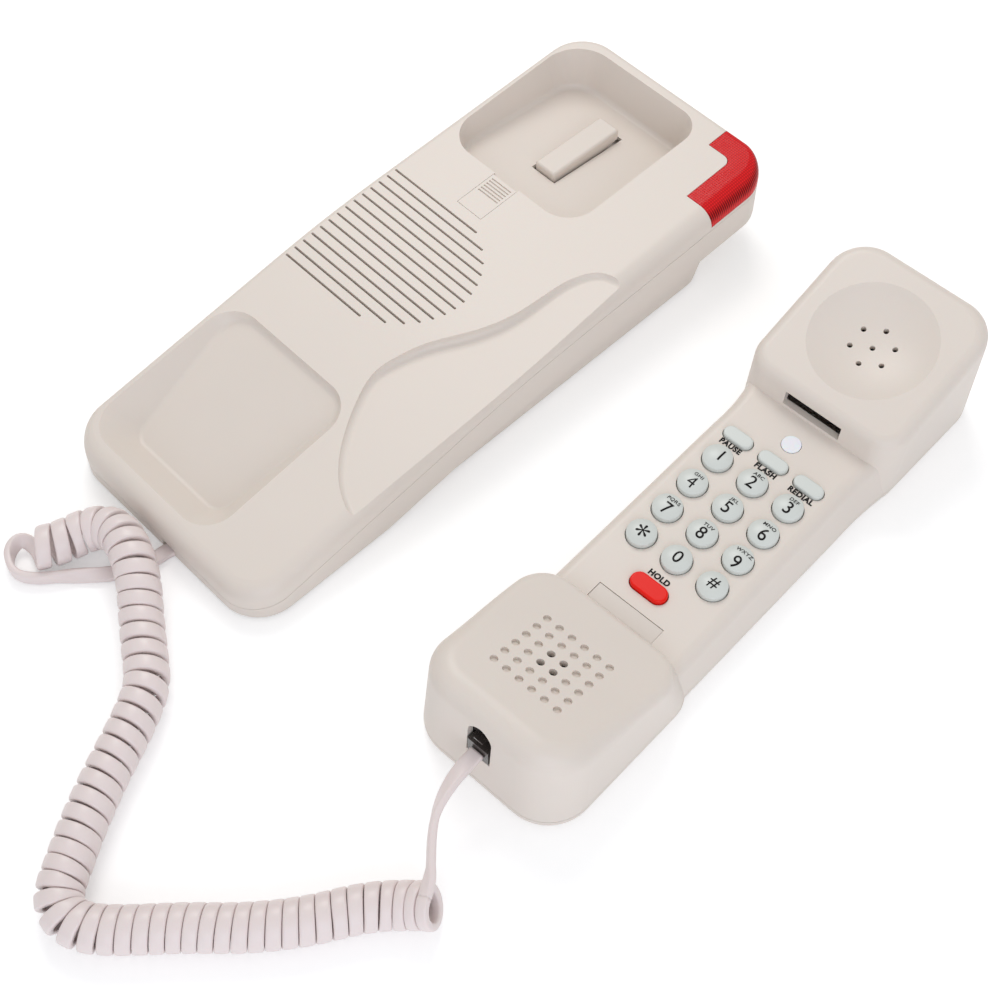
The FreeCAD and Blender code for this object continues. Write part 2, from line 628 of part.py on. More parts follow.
def bracket_form(inset):
    """Wedge under the housing, from the table to the sloping underside."""
    half = BRACKET_HALF_WIDTH - inset
    corner = BRACKET_CORNER - inset
    lean = BRACKET_FAR_LEAN * 2.0
    low = ((-half, half), (BRACKET_NEAR + inset, BRACKET_FAR - inset), (corner,) * 4, FOOT_PROUD)
    high = ((-half, half), (BRACKET_NEAR + inset, BRACKET_FAR - inset + lean), (corner,) * 4,
            FOOT_PROUD + 22.0)
    return drafted_block(low, high).common(below_top(HOUSING_DEPTH + FIT_GAP))


def make_wall_bracket():
    tray = bracket_form(0.0)
    plate = box((-REACH, REACH), (-REACH, REACH), (-5, FOOT_PROUD + BRACKET_PLATE))
    room = bracket_form(BRACKET_WALL).cut(plate)
    tray = tray.cut(room)
    for x in (-FEET_X, FEET_X):
        pad = post(x, FAR_FEET_Y, FOOT_PROUD, FOOT_THICKNESS + 1.5, FOOT_RADIUS + 1.5)
        tray = tray.fuse(pad).cut(post(x, FAR_FEET_Y, 0.0, FOOT_THICKNESS, FOOT_RADIUS + FIT_GAP))
    for side in (-1.0, 1.0):
        stud_y = STUD_MID_Y + side * STUD_SPACING / 2.0
        slot = box((-STUD_SLOT_RADIUS, STUD_SLOT_RADIUS), (stud_y - STUD_DROP, stud_y), (0, 5))
        slot = slot.fuse([post(0, stud_y, 0, 5, STUD_SLOT_RADIUS),
                          post(0, stud_y - STUD_DROP, 0, 5, STUD_HEAD_RADIUS)])
        tray = tray.cut(slot)
    return max(tray.Solids, key=lambda solid: solid.Volume)


def lever_axle(radius):
    left = LEVER_X - LEVER_WIDTH / 2.0 - 0.5 - LEVER_POST_WIDTH
    right = LEVER_X + LEVER_WIDTH / 2.0 + 3.8 + LEVER_POST_WIDTH
    return Part.makeCylinder(radius, right - left, V(left, LEVER_PIVOT_Y, LEVER_PIVOT_Z), V(1, 0, 0))


def make_hook_lever():
    slope = (LEVER_TOP_FAR - LEVER_TOP_NEAR) / (LEVER_SLOT_FAR - LEVER_SLOT_NEAR)
    near = LEVER_SLOT_NEAR + 0.6
    far = LEVER_SLOT_FAR - 0.7
    low_tail = LEVER_PIVOT_Z + 0.1
    half = LEVER_WIDTH / 2.0
    arm = side_slab([(near, LEVER_TOP_NEAR), (far, LEVER_TOP_NEAR + slope * (far - near)), (far, 19.7),
                     (near + 2.0, LEVER_PIVOT_Z - 1.3), (near, LEVER_PIVOT_Z - 1.6),
                     (LEVER_PIVOT_Y, LEVER_PIVOT_Z - LEVER_BOSS_RADIUS),
                     (LEVER_PIVOT_Y, LEVER_PIVOT_Z + 1.6), (near, LEVER_PIVOT_Z + 1.6)], half)
    tail = side_slab([(LEVER_PIVOT_Y, low_tail - 1.2), (LEVER_PIVOT_Y, low_tail + 1.7),
                      (LEVER_TAIL_END, low_tail + 1.6), (LEVER_TAIL_END, low_tail)], half - 1.5)
    boss = Part.makeCylinder(LEVER_BOSS_RADIUS, LEVER_WIDTH, V(-half, LEVER_PIVOT_Y, LEVER_PIVOT_Z),
                             V(1, 0, 0))
    upright = [edge for edge in arm.Edges if edge.BoundBox.ZMin > 19.0 and edge.BoundBox.ZMax < 25.0]
    lever = arm.makeFillet(1.0, upright).fuse([tail, boss])
    lever.translate(V(LEVER_X, 0, 0))
    return lever.cut(lever_axle(LEVER_PIN_RADIUS + LEVER_BORE_GAP)).removeSplitter().Solids[0]


def make_hook_spring():
    """Torsion spring round the pin, with a leg on the floor and a leg beside the lever."""
    radius = LEVER_PIN_RADIUS + SPRING_WIRE / 2.0 + 0.2
    start_x = LEVER_X + LEVER_WIDTH / 2.0 + 0.7
    helix = Part.makeHelix(SPRING_PITCH, SPRING_PITCH * SPRING_TURNS, radius)
    tip = helix.Edges[0].valueAt(helix.Edges[0].FirstParameter)
    direction = helix.Edges[0].tangentAt(helix.Edges[0].FirstParameter)
    leg = Part.LineSegment(tip - direction * 4.0, tip).toShape()
    end = helix.Edges[-1].valueAt(helix.Edges[-1].LastParameter)
    end_direction = helix.Edges[-1].tangentAt(helix.Edges[-1].LastParameter)
    end_leg = Part.LineSegment(end, end + end_direction * 2.5).toShape()
    spine = Part.Wire([leg] + helix.Edges + [end_leg])
    start = tip - direction * 4.0
    profile = Part.Wire(Part.makeCircle(SPRING_WIRE / 2.0, start, direction))
    spring = spine.makePipeShell([profile], True, True)
    spring.rotate(V(0, 0, 0), V(0, 1, 0), 90.0)
    spring.rotate(V(0, 0, 0), V(1, 0, 0), 180.0)
    spring.translate(V(start_x, LEVER_PIVOT_Y, LEVER_PIVOT_Z))
    return spring


def make_hook_switch():
    half = SWITCH_SIZE[0] / 2.0
    low = floor_height(SWITCH_NEAR + SWITCH_SIZE[1]) + FIT_GAP
    top = LEVER_PIVOT_Z + 0.1 - SWITCH_GAP
    middle = SWITCH_NEAR + SWITCH_SIZE[1] / 2.0
    body = box((LEVER_X - half, LEVER_X + half), (SWITCH_NEAR, SWITCH_NEAR + SWITCH_SIZE[1]),
               (low, top - 0.6))
    return body.fuse(post(LEVER_X, middle, low + 1.0, top, 1.0)).removeSplitter()


def make_handset_tab():
    tab = tab_room(0.0)
    ridges = []
    for number in range(TAB_RIDGES):
        y = EAR_WELL_NEAR - 0.6 - TAB_NEAR - 1.6 - number * TAB_RIDGE_PITCH
        groove = box((TAB_LEFT + 1.0, TAB_RIGHT - 1.0), (y - 0.3, y + 0.3), (-TAB_RIDGE_DEPTH, 1.0))
        ridges.append(tilted(groove, FAR_SLOPE, TAB_NEAR, top_height(TAB_NEAR)))
    return tab.cut(Part.makeCompound(ridges)).Solids[0]


def make_lamp_lens(outer):
    inside = housing(LENS_WALL)
    lens = outer.common(lens_region(0.0)).cut(inside)
    return max(lens.Solids, key=lambda solid: solid.Volume)


def make_lamp_board():
    """Small board on its post under the lens."""
    left = LAMP_X - LAMP_BOARD_SIZE[0] / 2.0 + 1.0
    near = LAMP_Y - LAMP_BOARD_SIZE[1] / 2.0 - 2.5
    return box((left, left + LAMP_BOARD_SIZE[0]), (near, near + LAMP_BOARD_SIZE[1]),
               (LAMP_BOARD_Z, LAMP_BOARD_Z + BOARD_THICKNESS))


def make_lamp_led():
    low = LAMP_BOARD_Z + BOARD_THICKNESS
    middle = low + LED_HEIGHT - LED_RADIUS
    body = post(LAMP_X, LAMP_Y, low, middle, LED_RADIUS)
    dome = Part.makeSphere(LED_RADIUS, V(LAMP_X, LAMP_Y, middle))
    dome = dome.common(box((-REACH, REACH), (-REACH, REACH), (middle, REACH)))
    return body.fuse(dome).removeSplitter()


def make_base_board():
    board = box((BOARD_LEFT, BOARD_RIGHT), (BOARD_NEAR, BOARD_FAR), (BOARD_Z, BOARD_Z + BOARD_THICKNESS))
    chip_top = BOARD_Z + BOARD_THICKNESS + 2.0
    chips = [box((16.0, 26.0), (-14.0, 6.0), (BOARD_Z + 0.5, chip_top)),
             box((14.0, 30.0), (14.0, 20.0), (BOARD_Z + 0.5, chip_top + 1.0))]
    return board.fuse(chips).removeSplitter()


def make_ballast_plate():
    """Steel plate that lies on the sloping floor and keeps the cradle from sliding."""
    half_x, half_y = BALLAST_SIZE[0] / 2.0, BALLAST_SIZE[1] / 2.0
    plate = box((BALLAST_X - half_x, BALLAST_X + half_x), (-half_y, half_y), (0.0, BALLAST_SIZE[2]))
    return tilted(plate, BALLAST_TILT, BALLAST_Y, floor_height(BALLAST_Y) + REST_GAP)


def make_ringer():
    low = BOARD_Z + BOARD_THICKNESS
    body = post(RINGER_X, RINGER_Y, low, low + RINGER_HEIGHT, RINGER_RADIUS)
    high = low + RINGER_HEIGHT
    return body.cut(post(RINGER_X, RINGER_Y, high - 1.2, high + 1.0, RINGER_RADIUS - 2.5))


def make_rubber_feet():
    feet = [post(x, y, 0.0, FOOT_THICKNESS, FOOT_RADIUS)
            for x in (-FEET_X, FEET_X) for y in (NEAR_FEET_Y, FAR_FEET_Y)]
    feet = [foot.makeFillet(0.5, [foot.Edges[index] for index in range(len(foot.Edges))
                                  if foot.Edges[index].BoundBox.ZMax < 0.1]) for foot in feet]
    return Part.makeCompound(feet)


def screw(x, y, low):
    head = post(x, y, low, low + SCREW_HEAD_HEIGHT / 2.0, SCREW_HEAD_RADIUS)
    shank = post(x, y, low, low + SCREW_LENGTH, SCREW_RADIUS - 0.05)
    slot = box((x - 2.0, x + 2.0), (y - 0.3, y + 0.3), (low - 1.0, low + 0.4))
    return head.fuse(shank).removeSplitter().cut(slot)


def make_base_screws():
    return Part.makeCompound([screw(x, y, floor_height(y) - BASE_FLOOR) for x, y in SCREW_PLACES])


def line_jack_block(grow):
    half = LINE_JACK_SIZE[0] / 2.0
    outside = BASE_LENGTH / 2.0
    low = floor_height(outside) + 0.1
    return box((LINE_JACK_X - half - grow, LINE_JACK_X + half + grow),
               (outside - LINE_JACK_SIZE[1] - grow, outside - 0.5 + 3.0 * (grow > 0.0)),
               (low - grow, low + LINE_JACK_SIZE[2] + grow))


def make_line_jack():
    outside = BASE_LENGTH / 2.0
    low = floor_height(outside) + 0.1
    middle = low + LINE_JACK_SIZE[2] / 2.0
    half = LINE_JACK_OPENING[0] / 2.0
    opening = box((LINE_JACK_X - half, LINE_JACK_X + half),
                  (outside - LINE_JACK_SIZE[1] + 2.0, outside + 1.0),
                  (middle - LINE_JACK_OPENING[1] / 2.0, middle + LINE_JACK_OPENING[1] / 2.0))
    return line_jack_block(0.0).cut(opening)


# Modular plugs and jacks. Both are made with the cord leaving toward -Y from the origin.


def modular_plug():
    half = PLUG_WIDTH / 2.0
    body = box((-half, half), (0.0, PLUG_LENGTH), (0.0, PLUG_HEIGHT))
    body = body.makeFillet(0.4, [edge for edge in body.Edges if edge.BoundBox.YLength > 1.0])
    latch_foot = box((-1.6, 1.6), (PLUG_LENGTH - 2.5, PLUG_LENGTH - 0.5),
                     (PLUG_HEIGHT - 0.5, PLUG_HEIGHT + 0.6))
    latch = side_slab([(PLUG_LENGTH - 0.5, PLUG_HEIGHT + 0.6), (PLUG_LENGTH - 2.5, PLUG_HEIGHT + 0.6),
                       (0.2, PLUG_HEIGHT + 2.6), (0.2, PLUG_HEIGHT + 3.3),
                       (PLUG_LENGTH - 3.5, PLUG_HEIGHT + 1.4)], 1.6)
    return body.fuse([latch_foot, latch]).removeSplitter()


def modular_jack(inset):
    """Jack block with its mouth inset behind the plug's tail."""
    half = PLUG_WIDTH / 2.0 + PLUG_GAP
    block = box((-half - JACK_WALL, half + JACK_WALL), (inset, inset + JACK_LENGTH),
                (-PLUG_GAP - JACK_WALL, PLUG_HEIGHT + 4.2))
    room = box((-half, half), (inset - 1.0, PLUG_LENGTH + 0.3), (-PLUG_GAP, PLUG_HEIGHT + PLUG_GAP))
    latch_room = box((-2.2, 2.2), (inset - 1.0, PLUG_LENGTH + 0.3), (PLUG_HEIGHT - 1.0, PLUG_HEIGHT + 3.6))
    return block.cut(room).cut(latch_room)


def base_plug_frame(shape):
    moved = shape.copy()
    moved.translate(V(BASE_PLUG_X, BASE_PLUG_TAIL, BASE_PLUG_Z))
    return moved


def plug_well(solid):
    """Well under the housing that holds the cord jack and takes the plug, or the walls round it."""
    half = PLUG_WIDTH / 2.0 + PLUG_GAP + JACK_WALL + FIT_GAP
    wall = 1.3 if solid else 0.0
    top = BASE_PLUG_Z + PLUG_HEIGHT + 4.2 + FIT_GAP
    return box((BASE_PLUG_X - half - wall, BASE_PLUG_X + half + wall),
               (BASE_PLUG_TAIL - 5.0 - wall, BASE_PLUG_TAIL + BASE_JACK_INSET + JACK_LENGTH + FIT_GAP + wall),
               (FOOT_PROUD if solid else -1.0, top + wall))


def cord_channel(solid):
    """Channel under the near end in which the cord runs to its jack, or the roof over it."""
    wall = CHANNEL_ROOF if solid else 0.0
    low = FOOT_PROUD if solid else -1.0
    half = CHANNEL_WIDTH / 2.0 + wall
    route = [V(x, y, low) for x, y, z in BASE_LEAD if y > -BASE_LENGTH / 2.0 - 8.0]
    pieces = []
    for first, second in zip(route, route[1:]):
        along = second - first
        length = along.Length
        run = box((0.0, length), (-half, half), (0.0, CHANNEL_HEIGHT + wall - low))
        run.rotate(V(0, 0, 0), V(0, 0, 1), math.degrees(math.atan2(along.y, along.x)))
        run.translate(first)
        pieces.append(run)
        pieces.append(post(second.x, second.y, low, CHANNEL_HEIGHT + wall, half))
    channel = pieces[0].fuse(pieces[1:]).removeSplitter()
    if solid:
        inside = housing(0.2)
        channel = channel.common(inside)
    return channel


# Cord


def coil_line():
    """Middle line of the curly cord, from its handset end to its cradle end."""
    poles = [V(*point) for point in COIL_ROUTE]
    spans = len(poles) - 2
    line = Part.BSplineCurve()
    line.buildFromPolesMultsKnots(poles, [3] + [1] * (spans - 1) + [3], list(range(spans + 1)), False, 2)
    return line


def line_way(line, distance):
    """Direction of the middle line at a distance along it."""
    way = line.tangent(line.parameterAtDistance(min(max(distance, 0.0), line.length())))[0]
    return way.normalize()


def turns_along(line):
    """Turns wound up to each of a row of evenly spaced stations; they lie wider apart in a bend."""
    length = line.length()
    count = int(length / COIL_STEP)
    step = length / count
    radius = (COIL_OUTER - CORD_DIAMETER) / 2.0
    wound = [0.0]
    for index in range(count):
        middle = (index + 0.5) * step
        before = max(middle - COIL_BEND_REACH, 0.0)
        after = min(middle + COIL_BEND_REACH, length)
        bend = line_way(line, before).getAngle(line_way(line, after)) / (after - before)
        on_rise = COIL_RISE_START < middle < COIL_RISE_END
        wanted = COIL_RISE_PITCH if on_rise else COIL_RUN_PITCH
        if middle > length - COIL_TAIL_LENGTH:
            wanted = COIL_TAIL_PITCH
        pitch = max(wanted, (CORD_DIAMETER + COIL_GAP) / (1.0 - bend * radius))
        wound.append(wound[-1] + step / pitch)
    part_turn = (COIL_START_ANGLE - COIL_END_ANGLE) % 360.0 / 360.0
    whole = round(wound[-1] - part_turn) + part_turn
    return [value * whole / wound[-1] for value in wound]


def coil_point(line, wound, turns):
    """Point of the strand after a number of turns. The winding is left-handed."""
    step = line.length() / (len(wound) - 1)
    place = bisect.bisect_right(wound, turns) - 1
    place = min(max(place, 0), len(wound) - 2)
    share = (turns - wound[place]) / (wound[place + 1] - wound[place])
    distance = min(max((place + share) * step, 0.0), line.length())
    middle = line.value(line.parameterAtDistance(distance))
    way = line_way(line, distance)
    aside = V(0, 0, 1).cross(way).normalize()
    above = way.cross(aside)
    angle = math.radians(COIL_START_ANGLE - 360.0 * turns)
    radius = (COIL_OUTER - CORD_DIAMETER) / 2.0
    return middle + (aside * math.cos(angle) + above * math.sin(angle)) * radius


def bend_arc(first, corner, last):
    """Arc from first to last, tangent to the two equal legs that meet at the corner."""
    half_chord = (last - first).Length / 2.0
    chord_middle = (first + last) * 0.5
    rise = corner - chord_middle
    lean = math.atan2(rise.Length, half_chord)
    top = chord_middle + rise * (math.tan(lean / 2.0) / math.tan(lean))
    return Part.Arc(first, top, last)


def biarc(first, first_way, last, last_way):
    """Two tangent arcs that leave the first point and reach the last in the given directions."""
    across = last - first
    toward = across.dot(first_way + last_way)
    spread = 2.0 * (1.0 - first_way.dot(last_way))
    leg = (-toward + math.sqrt(toward * toward + spread * across.dot(across))) / spread
    corner = first + first_way * leg
    far_corner = last - last_way * leg
    joint = (corner + far_corner) * 0.5
    return [bend_arc(first, corner, joint), bend_arc(joint, far_corner, last)]


def coil_curves():
    """The strand's curves: a straight start, two arcs for each half turn, and a straight end."""
    line = coil_line()
    wound = turns_along(line)
    halves = int(wound[-1] * 2.0)
    stops = [number * 0.5 for number in range(halves + 1)]
    if wound[-1] - stops[-1] > 0.05:
        stops.append(wound[-1])
    nudge = 0.002
    places = []
    for turns in stops:
        before = coil_point(line, wound, max(turns - nudge, 0.0))
        after = coil_point(line, wound, min(turns + nudge, wound[-1]))
        places.append((coil_point(line, wound, turns), (after - before).normalize()))
    curves = [Part.LineSegment(places[0][0] - places[0][1] * COIL_STRAIGHT, places[0][0])]
    for (first, first_way), (last, last_way) in zip(places, places[1:]):
        curves += biarc(first, first_way, last, last_way)
    curves.append(Part.LineSegment(places[-1][0], places[-1][0] + places[-1][1] * COIL_STRAIGHT))
    return curves


def least_gap(curves, apart):
    """Least clear space between stretches of a strand that lie further than apart along it."""
    points = []
    travelled = 0.0
    for curve in curves:
        length = curve.length()
        count = max(int(length / 1.0), 1)
        for index in range(count):
            parameter = curve.parameterAtDistance(length * index / count, curve.FirstParameter)
            points.append((travelled + length * index / count, curve.value(parameter)))
        travelled += length
    least = REACH
    for index, (distance, point) in enumerate(points):
        for other_distance, other in points[index + 1:]:
            if other_distance - distance > apart:
                least = min(least, (point - other).Length)
    return least - CORD_DIAMETER, travelled


def tube(curves):
    """Round cord of the full section along joined curves."""
    start = curves[0].value(curves[0].FirstParameter)
    way = curves[0].tangent(curves[0].FirstParameter)[0]
    profile = Part.Wire(Part.makeCircle(CORD_DIAMETER / 2.0, start, way))
    sweep = Part.BRepOffsetAPI.MakePipeShell(Part.Wire([curve.toShape() for curve in curves]))
    sweep.add(profile)
    sweep.build()
    sweep.makeSolid()
    return sweep.shape()


def lead_curves(route):
    """Straight runs joined by tangent arcs, each as large as its two runs allow."""
    curves = []
    last = route[0]
    radii = []
    for before, corner, after in zip(route, route[1:], route[2:]):
        arriving = (corner - before).normalize()
        leaving = (after - corner).normalize()
        turn = arriving.getAngle(leaving)
        leg = 0.45 * min((corner - before).Length, (after - corner).Length)
        radii.append(round(leg / math.tan(turn / 2.0), 1))
        start = corner - arriving * leg
        end = corner + leaving * leg
        curves.append(Part.LineSegment(last, start))
        curves.append(bend_arc(start, corner, end))
        last = end
    curves.append(Part.LineSegment(last, route[-1]))
    return curves, radii


def save_cord():
    """The coil and the two leads that meet its ends face to face."""
    coil = coil_curves()
    gap, length = least_gap(coil, COIL_OUTER)
    print("coil length", round(length, 1), "least gap", round(gap, 2))
    save(tube(coil), "curly_cord")
    coil_start = coil[0].value(coil[0].FirstParameter)
    start_way = coil[0].tangent(coil[0].FirstParameter)[0]
    coil_end = coil[-1].value(coil[-1].LastParameter)
    end_way = coil[-1].tangent(coil[-1].LastParameter)[0]
    handset_route = [V(*point) for point in HANDSET_LEAD] + [coil_start - start_way * HANDSET_LEAD_END_RUN,
                                                          coil_start]
    base_route = [V(*point) for point in BASE_LEAD] + [coil_end + end_way * BASE_LEAD_END_RUN, coil_end]
    for name, route in (("cord_lead_handset", handset_route), ("cord_lead_base", base_route)):
        curves, radii = lead_curves(route)
        lead = tube(curves)
        length = sum(curve.length() for curve in curves)
        share = lead.Volume / (length * math.pi * CORD_DIAMETER ** 2 / 4.0)
        print(name, "length", round(length, 1), "radii", radii, "volume against section", round(share, 4))
        save(lead, name)


# Handset. It is modelled with the keypad's middle over the origin, and then set beside the cradle.


def handset_frame(shape):
    moved = shape.copy()
    moved.rotate(V(0, 0, 0), V(0, 0, 1), HANDSET_YAW)
    moved.translate(V(HANDSET_PLACE[0], HANDSET_PLACE[1], 0))
    return moved


def keypad_frame(shape):
    """From flat keypad coordinates, with the keypad's surface at zero height, to the handset."""
    return tilted(shape, KEYPAD_TILT, 0.0, KEYPAD_Z)


def ear_frame(shape):
    return tilted(shape, EAR_FACE_TILT, EAR_FACE_Y, EAR_FACE_Z)


def mouth_frame(shape):
    return tilted(shape, MOUTH_FACE_TILT, MOUTH_FACE_Y, MOUTH_FACE_Z)


def above_face(frame, inset):
    """Everything over a tilted face that lies the inset below the face's own plane."""
    return frame(box((-REACH, REACH), (-REACH, REACH), (-inset, REACH)))


def grip_form(inset):
    """The part of the handset under the keypad, widening into the ear end."""
    low = inset
    flare = 0.273
    high = KEYPAD_Z + 6.0
    seam_half = GRIP_HALF_WIDTH - inset
    corner = max(HANDSET_BOTTOM_ROUND - inset, 0.6)

    def section(y, widening):
        half = seam_half + widening
        top_half = half - flare * (high - HANDSET_SEAM) + widening * 1.6
        points = [V(-half + corner, y, low), V(half - corner, y, low)]
        inward = corner * (1.0 - math.sqrt(0.5))
        right_arc = Part.Arc(points[1], V(half - inward, y, low + inward), V(half, y, low + corner))
        left_arc = Part.Arc(V(-half, y, low + corner), V(-half + inward, y, low + inward), points[0])
        path = [V(half, y, low + corner), V(half, y, HANDSET_SEAM), V(top_half, y, high),
                V(-top_half, y, high), V(-half, y, HANDSET_SEAM), V(-half, y, low + corner)]
        lines = [Part.LineSegment(first, second).toShape() for first, second in zip(path, path[1:])]
        return Part.Wire([Part.LineSegment(points[0], points[1]).toShape(), right_arc.toShape()] + lines
                         + [left_arc.toShape()])

    reach = NECK_FAR - NECK_NEAR
    swell = EAR_HALF_WIDTH - GRIP_HALF_WIDTH - 0.3
    widenings = [(y, 0.0) for y in GRIP_SECTIONS] + [(NECK_NEAR + reach * along, swell * share)
                                                     for along, share in NECK_FLARE]
    grip = Part.makeLoft([section(y, widening) for y, widening in widenings], True, False)
    grip = grip.cut(above_face(keypad_frame, inset)).Solids[0]
    upper = [edge for edge in grip.Edges if edge.BoundBox.ZMin > 10.0 and edge.BoundBox.YLength > 4.0]
    return grip.makeFillet(max(GRIP_ROUND - inset, 0.8), upper)


def end_block(low, high, frame, inset, top_radii):
    """Ear or mouth end: a drafted block under its tilted face, with rounded edges above and below."""
    block = drafted_block(low, high).cut(above_face(frame, inset)).Solids[0]
    normal = frame(Part.makeLine(V(0, 0, 0), V(0, 0, 1)))
    upward = normal.Vertexes[1].Point - normal.Vertexes[0].Point
    face = [side for side in block.Faces if side.normalAt(0, 0).dot(upward) > 0.999][0]
    rim = [edge.hashCode() for edge in face.Edges]
    floor = [side for side in block.Faces if side.normalAt(0, 0).z < -0.999][0]
    base = [edge.hashCode() for edge in floor.Edges]
    bottom_round = max(HANDSET_BOTTOM_ROUND - inset, 0.6)

    def picked(edge):
        if edge.hashCode() in base:
            return bottom_round, bottom_round
        if edge.hashCode() in rim:
            ends = (edge.Vertexes[0], edge.Vertexes[-1])
            return [max(top_radii(vertex.Point) - inset, 0.8) for vertex in ends]
        return None

    return edge_rounded(block, picked)


def ear_form(inset):
    half = EAR_HALF_WIDTH - inset
    corners = (EAR_NEAR_CORNER - inset,) * 2 + (EAR_FAR_CORNER - inset,) * 2
    lean = 0.13
    low_near = EAR_NEAR + inset - lean * (KEYPAD_Z - inset)
    high_near = EAR_NEAR + inset + lean * (50.0 - KEYPAD_Z)
    low = ((-half, half), (low_near, HANDSET_FAR - inset), corners, inset)
    high = ((-half, half), (high_near, HANDSET_FAR - inset), corners, 50.0)
    return end_block(low, high, ear_frame, inset, lambda point: EAR_ROUND)


def mouth_form(inset):
    draft = 0.05
    end_draft = 0.078
    inner_lean = 0.36
    high_z = 45.0
    inner = (MOUTH_INNER_CORNER - inset,) * 2
    outer = (MOUTH_OUTER_CORNER - inset,) * 2

    def outline(z):
        half = MOUTH_HALF_WIDTH - draft * (z - HANDSET_SEAM) - inset
        end = HANDSET_NEAR + end_draft * (z - HANDSET_SEAM) + inset
        start = MOUTH_INNER - inner_lean * (z - 16.0) - inset
        return (-half, half), (end, start), outer + inner, z

    def radii(point):
        return MOUTH_END_ROUND if point.y < MOUTH_FACE_Y else MOUTH_ROUND

    return end_block(outline(inset), outline(high_z), mouth_frame, inset, radii)


def handset_form(inset):
    return grip_form(inset).fuse([ear_form(inset), mouth_form(inset)]).removeSplitter()


def oval(x, y, size, z_range):
    """Upright post with two straight sides and round ends."""
    half_length = (size[0] - size[1]) / 2.0
    radius = size[1] / 2.0
    middle = box((x - half_length, x + half_length), (y - radius, y + radius), z_range)
    ends = [post(x + side * half_length, y, z_range[0], z_range[1], radius) for side in (-1.0, 1.0)]
    return middle.fuse(ends).removeSplitter()


def key_places():
    return [(column * KEY_COLUMN_PITCH, row * KEY_ROW_PITCH)
            for row in (1.5, 0.5, -0.5, -1.5) for column in (-1, 0, 1)]


def function_places():
    return [(column * KEY_COLUMN_PITCH, FUNCTION_KEY_Y) for column in (-1, 0, 1)]


def key_underside():
    """Height of the flanges' lower side, in the keypad's own frame."""
    return -HANDSET_WALL - KEY_GAP - KEY_FLANGE_THICKNESS


def dial_key(x, y):
    low = key_underside()
    body = post(x, y, low, KEY_EDGE_HEIGHT, KEY_RADIUS)
    rise = KEY_CROWN_HEIGHT - KEY_EDGE_HEIGHT
    sphere_radius = (KEY_RADIUS ** 2 + rise ** 2) / (2.0 * rise)
    crown = Part.makeSphere(sphere_radius, V(x, y, KEY_CROWN_HEIGHT - sphere_radius))
    crown = crown.common(post(x, y, KEY_EDGE_HEIGHT - 0.5, KEY_CROWN_HEIGHT + 1.0, KEY_RADIUS))
    flange = post(x, y, low, low + KEY_FLANGE_THICKNESS, KEY_RADIUS + KEY_FLANGE_EXTRA)
    key = body.fuse([crown, flange]).removeSplitter()
    rim = [edge for edge in key.Edges if abs(edge.BoundBox.ZMin - KEY_EDGE_HEIGHT) < 0.01
           and edge.BoundBox.ZLength < 0.01]
    return keypad_frame(key.makeFillet(0.5, rim))


def oval_key(x, y, size, height):
    low = key_underside()
    body = oval(x, y, size, (low, height))
    top = [edge for edge in body.Edges if edge.BoundBox.ZMin > height - 0.01]
    body = body.makeFillet(0.6, top)
    extra = 2.0 * KEY_FLANGE_EXTRA
    flange = oval(x, y, (size[0] + extra, size[1] + extra), (low, low + KEY_FLANGE_THICKNESS))
    return keypad_frame(body.fuse(flange).removeSplitter())


def ear_bowl(grow):
    radius = (EAR_BOWL_RADIUS ** 2 + EAR_BOWL_DEPTH ** 2) / (2.0 * EAR_BOWL_DEPTH)
    ball = Part.makeSphere(radius + grow, V(0, 0, radius - EAR_BOWL_DEPTH))
    cap = ball.common(post(0, 0, -EAR_BOWL_DEPTH - grow - 1.0, 3.0, EAR_BOWL_RADIUS + 2.0 + grow))
    return ear_frame(cap)


def ear_holes():
    places = [(0.0, 0.0)] + [(EAR_HOLE_RING * math.cos(math.radians(30 + 60 * step)),
                              EAR_HOLE_RING * math.sin(math.radians(30 + 60 * step))) for step in range(6)]
    return ear_frame(Part.makeCompound([post(x, y, -12.0, 0.0, EAR_HOLE_RADIUS) for x, y in places]))


def mouth_holes():
    """Six by six dimples, of which the middle four go through to the microphone."""
    tools = []
    for column in range(6):
        for row in range(6):
            through = column in (2, 3) and row in (2, 3)
            depth = HANDSET_WALL + 1.0 if through else MOUTH_HOLE_DEPTH
            tools.append(post((column - 2.5) * MOUTH_HOLE_PITCH, (row - 2.5) * MOUTH_HOLE_PITCH, -depth, 1.0,
                              MOUTH_HOLE_RADIUS))
    return mouth_frame(Part.makeCompound(tools))


def handset_plug_frame(shape):
    """From plug coordinates to the mouth end's wall."""
    moved = shape.copy()
    moved.translate(V(0, HANDSET_NEAR + 1.0, HANDSET_PLUG_TOP - PLUG_HEIGHT))
    return moved


def jack_arch(grow):
    half = JACK_ARCH_WIDTH / 2.0 + grow
    low = HANDSET_PLUG_TOP - PLUG_HEIGHT - PLUG_GAP - grow
    spring_line = JACK_ARCH_TOP - JACK_ARCH_WIDTH / 2.0
    depth = (HANDSET_NEAR - 2.0, HANDSET_NEAR + 6.0)
    lower = box((-half, half), depth, (low, spring_line))
    arch = Part.makeCylinder(half, depth[1] - depth[0], V(0, depth[0], spring_line), V(0, 1, 0))
    return lower.fuse(arch)


